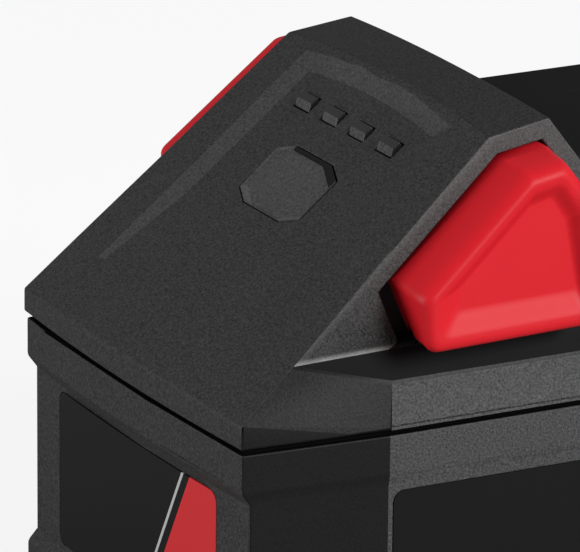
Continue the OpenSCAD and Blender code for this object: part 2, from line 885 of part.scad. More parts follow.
// Space of the front label: play round it, and how far it reaches outward from its back
module front_label_space(play, reach) {
    inner = bow_radius - front_inset - label_thickness;
    intersection() {
        translate([0, 0, (label_top + label_foot) / 2]) rotate([90, 0, 0]) linear_extrude(far)
            rounded(2 * label_half + 2 * play, label_height + 2 * play, label_radius + play);
        translate([0, bow_y, 0]) difference() {
            cylinder(r = inner + reach, h = parting_z, $fn = bow_facets);
            translate([0, 0, -cut]) cylinder(r = inner, h = parting_z + 2 * cut, $fn = bow_facets);
        }
    }
}

// Space of a side label
module side_label_space(play, reach) {
    middle = [corner_y + label_gap + side_label_half, (label_top + label_foot) / 2];
    along_x(body_half - label_thickness, body_half - label_thickness + reach) translate(middle)
        rounded(2 * side_label_half + 2 * play, label_height + 2 * play, label_radius + play);
}

// Label on the front
module front_label() {
    color("#1c1e1c") front_label_space(0, label_thickness);
}

// Label on the right side
module side_label() {
    color("#1c1e1c") side_label_space(0, label_thickness);
}

// Case screws with their sockets
module case_screws() {
    head_foot = screw_seat - screw_head_height;
    color("#8c8c90") at_screws() difference() {
        union() {
            translate([0, 0, head_foot]) cylinder(d = screw_head, h = screw_head_height, $fn = fine);
            translate([0, 0, screw_seat - cut])
                cylinder(d = screw_diameter, h = screw_length + cut, $fn = fine);
        }
        translate([0, 0, head_foot - cut])
            cylinder(d = screw_head / 2, h = screw_head_height / 2 + cut, $fn = 6);
    }
}

// Latch on the right: paddle, flange, spring seat, arm and hook
module latch() {
    plane = wall + wall_gap;
    foot = opening_foot + latch_foot_gap;
    edge = latch_fit + latch_draft;
    stem = latch_outline(foot, latch_fit, stem_lead, latch_rake);
    face = face_outline(foot + face_lift, edge, face_lead, face_rake);
    dish = face_outline(foot + face_lift + 2 * latch_rim, edge + latch_rim, face_lead, dish_rake);
    dish_floor = face_outline(foot + face_lift + 5 * latch_rim, edge + 2 * latch_rim, floor_lead, latch_rake);
    shift = flange_shift * [0, -cos(slope_angle), -sin(slope_angle)];
    color("#d9323c") {
        difference() {
            union() {
                difference() {
                    along_x(spring_face, paddle_start) polygon(stem);
                    outside_shell(plane + latch_flange);
                }
                hull() {
                    along_x(paddle_start - thin, paddle_start) polygon(stem);
                    on_side_wall() along_x(latch_stand - thin, latch_stand) polygon(face);
                }
            }
            on_side_wall() hull() {
                along_x(latch_stand, latch_stand + thin) polygon(dish);
                along_x(latch_stand - latch_dish, latch_stand - latch_dish + thin) polygon(dish_floor);
            }
        }
        intersection() {
            translate(shift) along_x(spring_face - spring_seat, side_half) polygon(stem);
            flange_slab(plane, latch_flange);
        }
        translate([spring_face, spring_y, spring_z]) rotate([0, 90, 0])
            cylinder(d = spring_seat, h = seat_height, $fn = fine);
        translate([spring_face - latch_pin, spring_y, spring_z]) rotate([0, 90, 0])
            cylinder(d = pin_diameter, h = latch_pin + cut, $fn = fine);
        box([arm_half, arm_y, hook_foot], [spring_face + seat_height / 2, arm_end, hook_top]);
        box([arm_half, arm_y, hook_foot], [arm_half + arm_thickness, hook_end, hook_top]);
        translate([0, 0, hook_foot]) linear_extrude(hook_top - hook_foot) polygon([
            [arm_half, hook_y],
            [waist_half + hook_reach, hook_y],
            [waist_half + hook_reach, hook_y + hook_length / 3],
            [arm_half + arm_thickness, hook_end],
            [arm_half, hook_end]]);
    }
}

// Space deeper than d behind the nose's side wall, on the inner side
module outside_shell(d) {
    outside(nose_corner - d * nose_normal, -nose_normal);
}

// Slab of a thickness behind the nose's side wall
module flange_slab(depth, thickness) {
    difference() {
        outside(nose_corner - depth * nose_normal, -nose_normal);
        outside(nose_corner - (depth + thickness) * nose_normal, -nose_normal);
    }
}

// Coil between the rib and the latch on the right, with level ends
module latch_spring() {
    sides = 6;
    ring_sides = 8;
    rings = ring_sides * spring_turns;
    start = rib_x + rib_thickness + spring_wire / 2 + spring_play;
    length = spring_face - start - spring_wire / 2 - spring_play;
    radius = (spring_diameter - spring_wire) / 2;
    points = [for (i = [0 : rings], k = [0 : sides - 1]) let (
        turn = 360 * i / ring_sides,
        r = radius + spring_wire / 2 * cos(360 * k / sides))
        [start + length * i / rings + spring_wire / 2 * sin(360 * k / sides),
            spring_y + r * cos(turn), spring_z + r * sin(turn)]];
    skin = [for (i = [0 : rings - 1], k = [0 : sides - 1]) let (
        a = i * sides + k,
        b = i * sides + (k + 1) % sides)
        each [[a, b, b + sides], [a, b + sides, a + sides]]];
    first = [for (k = [1 : sides - 2]) [0, k + 1, k]];
    end = rings * sides;
    last = [for (k = [1 : sides - 2]) [end, end + k, end + k + 1]];
    echo(spring_gap = length / spring_turns - spring_wire);
    color("#b8babd") polyhedron(points, concat(skin, first, last));
}

// Octagonal gauge button with its dish, lip and foot
module gauge_button() {
    foot = gauge_board_w + switch_size.z + plunger_rise;
    foot_radius = plunger_radius + foot_rim;
    color("#3d3d3d") on_slope() translate([0, button_place, 0]) {
        difference() {
            translate([0, 0, button_bottom]) linear_extrude(button_top - button_bottom)
                polygon(button_outline(0));
            hull() {
                translate([0, 0, button_top]) linear_extrude(thin) polygon(button_outline(dish_rim));
                translate([0, 0, button_top - button_dish]) linear_extrude(thin)
                    polygon(button_outline(2 * button_dish));
            }
        }
        translate([0, 0, button_bottom]) linear_extrude(button_lip)
            polygon(button_outline(-button_lip_width));
        translate([0, 0, foot]) cylinder(r = foot_radius, h = button_bottom - foot + cut, $fn = fine);
    }
}

// Smoked light bar with its four windows
module gauge_lens() {
    half = 1.5 * light_pitch + light_width / 2 + lens_border;
    side = light_length / 2 + lens_border;
    top = recess_floor(light_place) + light_height;
    bevel = 0.42 * light_length;
    color("#262626") on_slope() translate([0, light_place, 0]) {
        box([-half, -side, -wall - lens_thickness], [half, side, -wall]);
        for (i = [-1.5 : 1.5]) {
            translate([i * light_pitch, 0, 0]) along_x(-light_width / 2, light_width / 2) polygon([
                [-light_length / 2, -wall - cut],
                [light_length / 2, -wall - cut],
                [light_length / 2, top],
                [bevel - light_length / 2, top],
                [-light_length / 2, top - 0.7 * bevel]]);
        }
    }
}

// Board behind the slope
module gauge_board() {
    color("#2f6b45") on_slope() difference() {
        box([-gauge_board_half, gauge_board_ends[0], gauge_board_w - gauge_board_thickness],
            [gauge_board_half, gauge_board_ends[1], gauge_board_w]);
        at_gauge_screws() translate([0, 0, gauge_board_w - 2 * gauge_board_thickness])
            cylinder(d = small_screw + 2 * screw_fit, h = 4 * gauge_board_thickness, $fn = fine);
    }
}

// Four lights under the windows
module gauge_lights() {
    foot = [-light_size.x / 2, light_place - light_size.y / 2, gauge_board_w];
    color("#e8e6d8") on_slope() for (i = [-1.5 : 1.5]) {
        translate(foot + [i * light_pitch, 0, 0]) cube(light_size);
    }
}

// Body of the switch under the gauge button
module gauge_switch() {
    color("#202020") on_slope() translate([0, button_place, gauge_board_w]) difference() {
        translate([-switch_size.x / 2, -switch_size.y / 2, 0]) cube(switch_size);
        translate([0, 0, plunger_floor])
            cylinder(r = plunger_radius + plunger_fit, h = switch_size.z, $fn = fine);
    }
}

// Plunger of that switch
module switch_plunger() {
    foot = plunger_floor + plunger_fit + button_travel;
    color("#c8b48a") on_slope() translate([0, button_place, gauge_board_w + foot])
        cylinder(r = plunger_radius, h = switch_size.z + plunger_rise - foot, $fn = fine);
}

// Small screws that hold the gauge board
module gauge_screws() {
    shank = head_height + gauge_board_thickness + small_length - cut / 2;
    color("#a8a8ac") on_slope() at_gauge_screws()
        translate([0, 0, gauge_board_w - gauge_board_thickness - head_height]) {
            cylinder(d = small_head, h = head_height, $fn = fine);
            cylinder(d = small_screw, h = shank, $fn = fine);
        }
}

// Sockets at the two ends of the gauge cable
module cable_sockets() {
    color("#e6e1cf") {
        translate([-socket_size.x / 2, board_end.x - socket_size.y / 2, board_top]) cube(socket_size);
        on_slope() translate([-socket_size.x / 2, socket_v - socket_size.y / 2, socket_w])
            cube(socket_size);
    }
}

// Flat cable from the gauge board to the main board, in a loose bend
module gauge_cable() {
    steps = 24;
    out = [sin(slope_angle), -cos(slope_angle)];
    reach = (gauge_end.y - board_end.y) * cable_sag;
    curve = [gauge_end, gauge_end + reach * out, board_end + [0, reach], board_end];
    mid = [for (i = [0 : steps]) bend(curve, i / steps)];
    dir = [for (i = [0 : steps]) unit(bend_way(curve, i / steps))];
    left = [for (i = [0 : steps]) mid[i] + cable_thickness / 2 * [dir[i].y, -dir[i].x]];
    right = [for (i = [steps : -1 : 0]) mid[i] - cable_thickness / 2 * [dir[i].y, -dir[i].x]];
    color("#d8d2c0") along_x(-cable_half, cable_half) polygon(concat(left, right));
}

// One cell with its beaded rim, its contact towards +X on even columns
module cell(index) {
    column = (index - 1) % columns;
    row = floor((index - 1) / columns);
    can = cell_half - cell_contact;
    radius = cell_diameter / 2;
    neck = radius - can_round;
    turn = column % 2 == 0 ? 90 : -90;
    color("#3b78a8") translate([0, column_y(column), row_z(row)]) rotate([0, turn, 0])
        rotate_extrude($fn = fine) polygon([
            [0, -can],
            [neck, -can],
            [radius, can_round - can],
            [radius, can - bead_place - can_round],
            [neck, can - bead_place],
            [neck, can - bead_place + bead_width],
            [radius, can - bead_place + bead_width + can_round],
            [radius, can - can_round],
            [neck, can],
            [contact_radius, can],
            [contact_radius, cell_half],
            [0, cell_half]]);
}

// Holder on the right with its ten pockets, windows and board posts
module cell_holder() {
    color("#d2cfc4") difference() {
        union() {
            box([cell_half - holder_depth, mid_y - holder_length / 2, floor_thickness],
                [cell_half, mid_y + holder_length / 2, holder_top]);
            for (y = [-board_post_y, board_post_y]) {
                translate([board_post_x, mid_y + y, holder_top - cut])
                    cylinder(r = post_radius, h = post_height + cut, $fn = fine);
            }
        }
        for (i = [0 : columns - 1], k = [0 : rows - 1]) {
            translate([0, column_y(i), row_z(k)]) rotate([0, 90, 0]) {
                cylinder(d = pocket, h = cell_half - cell_contact, $fn = fine);
                cylinder(d = window, h = far, $fn = fine);
            }
        }
        for (y = [-board_post_y, board_post_y]) {
            translate([board_post_x, mid_y + y, board_z - small_length])
                cylinder(d = small_screw + 2 * thread_play, h = far, $fn = fine);
        }
    }
}

// Strap on the right over columns first to last; dimple is the column parity with its flat ends here
module strap(first, last, dimple) {
    middle = (column_y(first) + column_y(last)) / 2;
    top = row_z(rows - 1) + strap_reach;
    fold = board_half - tab_lap;
    color("#c9c9c6") {
        box([cell_half, column_y(first) - strap_reach, row_z(0) - strap_reach],
            [cell_half + strap_thickness, column_y(last) + strap_reach, top]);
        box([cell_half, middle - tab_width / 2, top - cut],
            [cell_half + strap_thickness, middle + tab_width / 2, board_top + strap_thickness]);
        box([fold, middle - tab_width / 2, board_top],
            [cell_half + strap_thickness, middle + tab_width / 2, board_top + strap_thickness]);
        for (i = [first : last], k = [0 : rows - 1]) {
            if (i % 2 == dimple) {
                translate([cell_half - cell_contact, column_y(i), row_z(k)]) rotate([0, 90, 0])
                    cylinder(r = dimple_radius, h = cell_contact + strap_thickness / 2, $fn = fine);
            }
        }
    }
}

// Insulator sheet over the straps on the right
module insulator() {
    color("#4f7f5b") box(
        [cell_half + strap_thickness, mid_y - sheet_half, floor_thickness + holder_rim],
        [cell_half + strap_thickness + sheet_thickness, mid_y + sheet_half, holder_top - holder_rim]);
}

// Main board over the cells
module main_board() {
    color("#2f6b45") difference() {
        box([-board_half, board_front, board_z], [board_half, board_rear, board_top]);
        at_board_screws() translate([0, 0, board_z - cut])
            cylinder(d = small_screw + 2 * screw_fit, h = board_thickness + 2 * cut, $fn = fine);
    }
}

// Small screws that hold the main board
module board_screws() {
    color("#a8a8ac") at_board_screws() {
        translate([0, 0, board_top]) cylinder(d = small_head, h = head_height, $fn = fine);
        translate([0, 0, board_z - small_length + cut / 2])
            cylinder(d = small_screw, h = small_length + board_thickness, $fn = fine);
    }
}

// Flat box part on the main board, with its middle at [x, y]
module board_part(place, size) {
    translate([place.x - size.x / 2, mid_y + place.y - size.y / 2, board_top]) cube(size);
}

// Power transistors in a row
module power_transistors() {
    color("#262626") for (i = [-1.5 : 1.5]) {
        board_part([i * transistor_pitch, transistor_y], transistor_size);
    }
}

// Control chip
module control_chip() {
    color("#1e1e1e") board_part([0, chip_y], chip_size);
}

// Current shunt in the negative path
module current_shunt() {
    color("#b07a4a") board_part(shunt_place, shunt_size);
}

// Capacitors
module capacitors() {
    color("#a37b52") for (i = [-1 : 1]) {
        board_part(capacitor_place + [i * capacitor_pitch, 0], capacitor_size);
    }
}

// Temperature probe in the valley between two upper cells, with its two leads
module temperature_probe() {
    reach = cell_diameter / 2 + probe_radius + probe_gap;
    valley_y = (column_y(2) + column_y(3)) / 2;
    valley_z = row_z(rows - 1) + sqrt(reach * reach - pitch * pitch / 4);
    color("#6b3b2a") {
        translate([-probe_length / 2, valley_y, valley_z]) rotate([0, 90, 0])
            cylinder(r = probe_radius, h = probe_length, $fn = fine);
        for (x = [-lead_half, lead_half]) {
            translate([x, valley_y, valley_z])
                cylinder(r = lead_radius, h = board_z - valley_z, $fn = fine);
        }
    }
}

// Terminal block in the tower with its five channels
module terminal_block() {
    clip = terminal_width / 2 + terminal_fit;
    pin = pin_width / 2 + terminal_fit;
    color("#242424") difference() {
        box([-block_half, block_front, board_top], [block_half, block_rear, block_top]);
        for (i = [-2 : 2]) {
            translate([i * terminal_pitch, block_rear - clip_length, 0]) {
                box([-clip, -terminal_fit, clip_foot], [clip, clip_length + cut, far]);
                box([-pin, clip_length / 2 - terminal_fit, board_top - cut],
                    [pin, clip_length / 2 + pin_length + terminal_fit, clip_foot + cut]);
            }
        }
    }
}

// Terminal clip number i: two leaves on a base with a pin down to the board
module terminal(i) {
    front = block_rear - clip_length;
    half = terminal_width / 2;
    color("#c08a4e") translate([i * terminal_pitch, 0, 0]) {
        box([-half, front, clip_foot], [half, block_rear, clip_foot + terminal_sheet]);
        for (x = [-half, half - terminal_sheet]) {
            box([x, front, clip_foot], [x + terminal_sheet, block_rear, clip_foot + clip_height]);
        }
        box([-pin_width / 2, block_rear - clip_length / 2, board_top],
            [pin_width / 2, block_rear - clip_length / 2 + pin_length, clip_foot + terminal_sheet / 2]);
    }
}

lower_case();
top_case();
mirror([1, 0, 0]) latch();  // latch_left
latch();  // latch_right
mirror([1, 0, 0]) latch_spring();  // latch_spring_left
latch_spring();  // latch_spring_right
gauge_button();
gauge_lens();
gauge_board();
gauge_lights();
gauge_switch();
switch_plunger();
gauge_screws();
gauge_cable();
cable_sockets();
front_label();
mirror([1, 0, 0]) side_label();  // side_label_left
side_label();  // side_label_right
case_screws();
mirror([1, 0, 0]) cell_holder();  // cell_holder_left
cell_holder();  // cell_holder_right
for (i = [1 : columns * rows]) {
    cell(i);
}
strap(0, 1, 1);  // strap_right_front
strap(2, 3, 1);  // strap_right_middle
strap(4, 4, 1);  // strap_right_rear
mirror([1, 0, 0]) strap(0, 0, 0);  // strap_left_front
mirror([1, 0, 0]) strap(1, 2, 0);  // strap_left_middle
mirror([1, 0, 0]) strap(3, 4, 0);  // strap_left_rear
mirror([1, 0, 0]) insulator();  // insulator_left
insulator();  // insulator_right
main_board();
board_screws();
power_transistors();
control_chip();
current_shunt();
capacitors();
temperature_probe();
terminal_block();
terminal(2);  // terminal_positive
terminal(-2);  // terminal_negative
union() {  // signal_terminals
    for (i = [-1 : 1]) {
        terminal(i);
    }
}
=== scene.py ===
"""Looks of a slide-on battery pack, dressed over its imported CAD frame."""

import json
import logging
import math
from dataclasses import dataclass, field
from enum import Enum
from typing import Any, Callable, Mapping, Optional, Sequence, Union

import bmesh
import bpy
from mathutils import Matrix, Vector
from mathutils.bvhtree import BVHTree


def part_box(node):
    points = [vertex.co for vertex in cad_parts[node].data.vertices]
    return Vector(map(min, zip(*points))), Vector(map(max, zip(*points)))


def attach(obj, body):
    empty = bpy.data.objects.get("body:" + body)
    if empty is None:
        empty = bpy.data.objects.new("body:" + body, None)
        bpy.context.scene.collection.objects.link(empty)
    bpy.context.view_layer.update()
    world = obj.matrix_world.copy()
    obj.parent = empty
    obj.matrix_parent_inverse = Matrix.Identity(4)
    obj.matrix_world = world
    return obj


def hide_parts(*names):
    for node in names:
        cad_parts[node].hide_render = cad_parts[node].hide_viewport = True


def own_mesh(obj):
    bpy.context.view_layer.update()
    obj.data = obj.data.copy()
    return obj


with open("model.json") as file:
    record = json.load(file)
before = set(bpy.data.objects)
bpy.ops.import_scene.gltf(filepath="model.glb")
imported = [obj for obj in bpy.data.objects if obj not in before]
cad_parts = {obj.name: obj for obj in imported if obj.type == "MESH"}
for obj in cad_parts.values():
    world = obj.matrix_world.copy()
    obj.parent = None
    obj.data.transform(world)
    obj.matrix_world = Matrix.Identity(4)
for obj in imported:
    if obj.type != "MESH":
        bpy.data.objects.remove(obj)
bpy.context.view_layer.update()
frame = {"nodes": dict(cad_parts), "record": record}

log = logging.getLogger("battery_pack")
MM = 0.001
PER_METRE = 1000.0
WELD = 0.002 * MM
WHITE = (1.0, 1.0, 1.0, 1.0)
Colour = tuple[float, float, float]


@dataclass(frozen=True)
class Slope:
    """The nose's slope, on which a place runs across, along from the button's middle and out."""

    front: float = 65.1
    foot: float = 50.77
    run: float = 0.7615
    rise: float = 0.6481
    button: float = 38.4

    def place(self, point: Vector) -> Vector:
        """Finds where a point lies on the slope.

        Args:
            point: a point of the pack's frame, in millimetres.

        Returns:
            Its place on the slope, in millimetres.
        """
        y, z = point.y + self.front, point.z - self.foot
        along, out = y * self.run + z * self.rise, z * self.run - y * self.rise
        return Vector((point.x, along - self.button, out))

    def point(self, place: Vector) -> Vector:
        """Finds the point of a place on the slope.

        Args:
            place: a place on the slope, in millimetres.

        Returns:
            Its point in the pack's frame, in millimetres.
        """
        along, out = place.y + self.button, place.z
        back, up = along * self.run - out * self.rise, along * self.rise + out * self.run
        return Vector((place.x, back - self.front, up + self.foot))


SLOPE = Slope()


class Wire:
    """A shader socket that takes part in Python arithmetic."""

    def __init__(self, graph: "Graph", socket: bpy.types.NodeSocket) -> None:
        """Keeps the socket and the graph that it belongs to."""
        self.graph = graph
        self.socket = socket

    def math(self, operation: str, first: "Scalar", second: "Scalar") -> "Wire":
        """Adds one Math node over two values."""
        return self.graph.node("ShaderNodeMath", {"operation": operation}, {0: first, 1: second})

    def __add__(self, other: "Scalar") -> "Wire":
        """Sum."""
        return self.math("ADD", self, other)

    def __sub__(self, other: "Scalar") -> "Wire":
        """Difference."""
        return self.math("SUBTRACT", self, other)

    def __rsub__(self, other: "Scalar") -> "Wire":
        """Difference with the value first."""
        return self.math("SUBTRACT", other, self)

    def __mul__(self, other: "Scalar") -> "Wire":
        """Product."""
        return self.math("MULTIPLY", self, other)

    def __abs__(self) -> "Wire":
        """Size without sign."""
        return self.math("ABSOLUTE", self, 0.0)

    __radd__ = __add__
    __rmul__ = __mul__

    def step(self, low: float, high: float) -> "Wire":
        """Smooth step from 0 at low to 1 at high.

        Args:
            low: value where the step starts.
            high: value where it ends, which may be below low.

        Returns:
            The stepped value.
        """
        return self.graph.node(
            "ShaderNodeMapRange",
            {"interpolation_type": "SMOOTHSTEP"},
            {0: self, 1: low, 2: high, 3: 0.0, 4: 1.0},
        )


Scalar = Union[Wire, float]


class Graph:
    """Node tree of one material or world."""

    def __init__(self, tree: bpy.types.NodeTree) -> None:
        """Starts from an empty tree."""
        self.tree = tree
        tree.nodes.clear()

    def node(
        self,
        kind: str,
        settings: Optional[Mapping[str, Any]] = None,
        inputs: Optional[Mapping[Union[int, str], Any]] = None,
        out: Union[int, str] = 0,
    ) -> Wire:
        """Adds a node.

        Args:
            kind: Blender's name of the node type.
            settings: attributes that are set first.
            inputs: values or wires by socket name or number.
            out: the output that is wanted.

        Returns:
            The wire of that output.
        """
        made = self.tree.nodes.new(kind)
        for key, value in (settings or {}).items():
            setattr(made, key, value)
        for key, value in (inputs or {}).items():
            if isinstance(value, Wire):
                self.tree.links.new(value.socket, made.inputs[key])
            else:
                made.inputs[key].default_value = value
        return Wire(self, made.outputs[out] if made.outputs else None)

    def place(self) -> Wire:
        """Coordinates of the surface in the pack's frame, in metres."""
        return self.node("ShaderNodeTexCoord", out="Object")

    def axes(self) -> tuple[Wire, Wire, Wire]:
        """The three coordinates of the surface, in millimetres."""
        parts = self.node("ShaderNodeSeparateXYZ", None, {0: self.place()})
        sockets = parts.socket.node.outputs
        return tuple(Wire(self, socket) * PER_METRE for socket in sockets)

    def noise(
        self,
        size: float,
        detail: float = 2.0,
        rough: float = 0.5,
        stretch: Sequence[float] = (1, 1, 1),
    ) -> Wire:
        """Noise whose grains are about size millimetres across.

        Args:
            size: grain size in millimetres.
            detail: octaves.
            rough: strength of the finer octaves.
            stretch: scale along the three axes.

        Returns:
            Values round 0.5.
        """
        place = self.node("ShaderNodeMapping", None, {"Vector": self.place(), "Scale": tuple(stretch)})
        values = {"Vector": place, "Scale": PER_METRE / size, "Detail": detail, "Roughness": rough}
        return self.node("ShaderNodeTexNoise", None, values)

    def mix(self, first: Any, second: Any, share: Scalar) -> Wire:
        """Mixes two colours."""
        values = {0: share, 6: self._rgba(first), 7: self._rgba(second)}
        return self.node("ShaderNodeMix", {"data_type": "RGBA"}, values, 2)

    def shade(self, colour: Any, tone: Scalar) -> Wire:
        """Scales a colour by a value."""
        return self.node("ShaderNodeVectorMath", {"operation": "SCALE"}, {0: colour, "Scale": tone})

    def bump(self, height: Wire, depth: float) -> Wire:
        """Bump normal of a height from 0 to 1, with its depth in millimetres."""
        values = {"Height": height, "Distance": depth * MM, "Strength": 1.0}
        return self.node("ShaderNodeBump", None, values)

    def surface(self, **inputs: Any) -> None:
        """Ends the material in one principled shader.

        Args:
            inputs: values or wires by the socket's name, with _ for a space.
        """
        values = {key.replace("_", " "): self._rgba(value) for key, value in inputs.items()}
        shader = self.node("ShaderNodeBsdfPrincipled", None, values)
        self.node("ShaderNodeOutputMaterial", None, {0: shader})

    @staticmethod
    def _rgba(value: Any) -> Any:
        """Adds the alpha that a colour socket needs."""
        return (*value, 1.0) if isinstance(value, tuple) and len(value) == 3 else value


@dataclass(frozen=True)
class Finish:
    """A finish by name; each kind of finish draws its own node tree."""

    name: str

    def material(self) -> bpy.types.Material:
        """Makes the material at the first call.

        Returns:
            The material, the same one at each call.
        """
        made = bpy.data.materials.get("finish_" + self.name)
        if made is None:
            made = bpy.data.materials.new("finish_" + self.name)
            made.use_nodes = True
            self.draw(Graph(made.node_tree))
        return made

    def draw(self, graph: Graph) -> None:
        """Draws the node tree."""
        raise NotImplementedError


@dataclass(frozen=True)
class Moulded(Finish):
    """Moulded plastic with a fine eroded grain."""

    colour: Colour
    roughness: float = 0.5
    grain: float = 0.35
    depth: float = 0.05
    fleck: float = 0.18
    mottle: float = 0.08
    level: float = 0.2

    def draw(self, graph: Graph) -> None:
        """Draws grain, flecks, soft scuffs and the painted light and shade of its kind.

        Args:
            graph: the node tree.
        """
        fine = graph.noise(self.grain, 3.0, 0.62)
        coarse = graph.noise(self.grain * 3.1, 2.0)
        broad = graph.noise(14.0, 3.0)
        tone = 1.0 + (fine - 0.5) * (2.0 * self.fleck) + (broad - 0.5) * (2.0 * self.mottle)
        scuff = graph.noise(5.0, 4.0, 0.6, (1.0, 0.35, 1.0)).step(0.6, 0.72)
        graph.surface(
            Base_Color=graph.shade(self.colour, tone + scuff * 0.05 + self.painted_light_and_shade(graph)),
            Roughness=self.roughness + (fine - 0.5) * 0.16 + (broad - 0.5) * 0.1 - scuff * 0.04,
            Specular_IOR_Level=self.level,
            Normal=graph.bump(fine * 0.65 + coarse * 0.35, self.depth),
        )

    def painted_light_and_shade(self, graph: Graph) -> Scalar:
        """Tone of painted light and shade; plain plastic has none."""
        return 0.0


@dataclass(frozen=True)
class LitHood(Moulded):
    """Moulded plastic with painted light: a painted highlight along its foot and front edge, painted
    shadow of the latch near it, and painted light that rises towards the top.
    """

    # Heights, reaches and strengths of the painted highlights, the painted rise of light and the
    # painted latch shadow.
    foot: float = 59.0
    reach: float = 1.0
    gain: float = 3.6
    top: float = 92.0
    fade: float = 0.35
    edge: float = 0.35
    rim: tuple[float, float] = (-1.6, -0.4)
    latch_shadow: float = 0.4
    latch_shadow_height: tuple[float, float] = (67.0, 60.5)
    latch_shadow_along: tuple[float, float] = (-51.0, -42.0)

    def painted_light_and_shade(self, graph: Graph) -> Scalar:
        """Adds up the painted highlights on the foot and the front edge, the painted shadow of the
        latch and the painted light that rises towards the top.

        Args:
            graph: the node tree.

        Returns:
            The tone.
        """
        _, along, height = graph.axes()
        patch = graph.noise(3.0, 2.0)
        # Painted highlight along the foot, in patches.
        foot = height.step(self.foot + self.reach, self.foot) * (patch + 0.5) * self.gain
        out = (height - SLOPE.foot) * SLOPE.run - (along + SLOPE.front) * SLOPE.rise
        # Painted highlight along the front edge next to the slope.
        edge = out.step(*self.rim) * self.edge
        # Painted shadow of the latch, towards the foot and the pocket.
        dim = height.step(*self.latch_shadow_height) * along.step(*self.latch_shadow_along) * self.latch_shadow
        # Painted light, darker at the foot and lighter towards the top.
        return foot + edge - dim + (height.step(self.foot, self.top) - 0.5) * (2.0 * self.fade)


@dataclass(frozen=True)
class Edged(Moulded):
    """Moulded plastic with a painted highlight along the slope's lower side edges."""

    half: float = 40.0
    lean: float = 0.1285
    reach: tuple[float, float] = (-0.4, -0.1)
    top: tuple[float, float] = (59.4, 58.9)
    end: tuple[float, float] = (-53.5, -54.0)
    gain: float = 0.7

    def painted_light_and_shade(self, graph: Graph) -> Scalar:
        """Paints a thin highlight line at each edge between the front and the hood.

        Args:
            graph: the node tree.

        Returns:
            The tone.
        """
        x, y, z = graph.axes()
        over = abs(x) + (z - SLOPE.foot) * self.lean - self.half
        return over.step(*self.reach) * z.step(*self.top) * y.step(*self.end) * self.gain


@dataclass(frozen=True)
class Lined(Moulded):
    """Moulded plastic with a painted shade line along the step over a lip, and painted light on the lip
    under it.
    """

    line: float = 47.32
    width: float = 0.1
    lift: float = 0.15
    dark: float = 0.7

    def painted_light_and_shade(self, graph: Graph) -> Scalar:
        """Paints shade along the line and paints light on the lip under it a little.

        Args:
            graph: the node tree.

        Returns:
            The tone.
        """
        height = graph.axes()[2]
        step_shade = abs(height - self.line).step(2.0 * self.width, self.width)
        return height.step(self.line, self.line - self.width) * self.lift - step_shade * self.dark


@dataclass(frozen=True)
class Metal(Finish):
    """Bare or plated metal with drawing marks."""

    colour: Colour
    roughness: float = 0.32
    lines: tuple[float, float, float] = (1.0, 12.0, 12.0)
    depth: float = 0.01

    def draw(self, graph: Graph) -> None:
        """Draws fine lines and a slight tarnish.

        Args:
            graph: the node tree.
        """
        drawn = graph.noise(2.0, 3.0, 0.6, self.lines)
        stain = graph.noise(6.0, 3.0)
        tone = 1.0 + (drawn - 0.5) * 0.3 - stain.step(0.55, 0.8) * 0.2
        graph.surface(
            Base_Color=graph.shade(self.colour, tone),
            Metallic=1.0,
            Roughness=self.roughness + (drawn - 0.5) * 0.2 + stain.step(0.5, 0.8) * 0.15,
            Normal=graph.bump(drawn, self.depth),
        )


@dataclass(frozen=True)
class Smoked(Finish):
    """Smoked clear plastic, polished on its face."""

    colour: Colour
    roughness: float = 0.16

    def draw(self, graph: Graph) -> None:
        """Draws a faint haze and fine scratches.

        Args:
            graph: the node tree.
        """
        haze = graph.noise(1.6, 3.0)
        lines = graph.noise(0.5, 2.0, 0.5, (0.2, 1.0, 1.0)).step(0.62, 0.7)
        graph.surface(
            Base_Color=graph.shade(self.colour, 0.8 + haze * 0.4),
            Roughness=self.roughness + haze * 0.12 + lines * 0.1,
            Coat_Weight=0.35,
            Coat_Roughness=0.08,
            Normal=graph.bump(haze, 0.02),
        )


@dataclass(frozen=True)
class Wrap(Finish):
    """Shrink wrap drawn over a cell."""

    colour: Colour
    contact: Colour = (0.62, 0.61, 0.58)
    end: tuple[float, float] = (34.4, 34.6)

    def draw(self, graph: Graph) -> None:
        """Draws the wrap with its shrink lines and the bare metal ends.

        Args:
            graph: the node tree.
        """
        bare = abs(graph.axes()[0]).step(*self.end)
        lines = graph.noise(3.0, 3.0, 0.5, (0.3, 1.0, 1.0))
        film = graph.shade(self.colour, 0.88 + lines * 0.24)
        graph.surface(
            Base_Color=graph.mix(film, self.contact, bare),
            Metallic=bare,
            Roughness=0.3 + lines * 0.12,
            Normal=graph.bump(lines, 0.06),
        )


@dataclass(frozen=True)
class Board(Finish):
    """Circuit board with solder mask, tracks and holes."""

    colour: Colour
    track: Colour

    def draw(self, graph: Graph) -> None:
        """Draws tracks under the mask and a light weave.

        Args:
            graph: the node tree.
        """
        cells = graph.node(
            "ShaderNodeTexBrick",
            {"offset": 0.5},
            {
                "Vector": graph.place(),
                "Scale": 140.0,
                "Mortar Size": 0.03,
                "Color1": (1.0, 1.0, 1.0, 1.0),
                "Color2": (0.7, 0.7, 0.7, 1.0),
                "Mortar": (0.0, 0.0, 0.0, 1.0),
            },
            "Fac",
        )
        weave = graph.noise(0.4, 2.0)
        graph.surface(
            Base_Color=graph.mix(graph.shade(self.colour, 0.85 + weave * 0.3), self.track, cells * 0.6),
            Roughness=0.34 + weave * 0.14,
            Normal=graph.bump(cells + weave * 0.2, 0.03),
        )


@dataclass(frozen=True)
class Paper(Finish):
    """Pressed fibre sheet."""

    colour: Colour

    def draw(self, graph: Graph) -> None:
        """Draws short fibres.

        Args:
            graph: the node tree.
        """
        fibre = graph.noise(0.8, 4.0, 0.65, (1.0, 0.4, 1.0))
        blot = graph.noise(9.0, 2.0)
        graph.surface(
            Base_Color=graph.shade(self.colour, 0.75 + fibre * 0.3 + blot * 0.2),
            Roughness=0.78 + (fibre - 0.5) * 0.2,
            Normal=graph.bump(fibre, 0.05),
        )


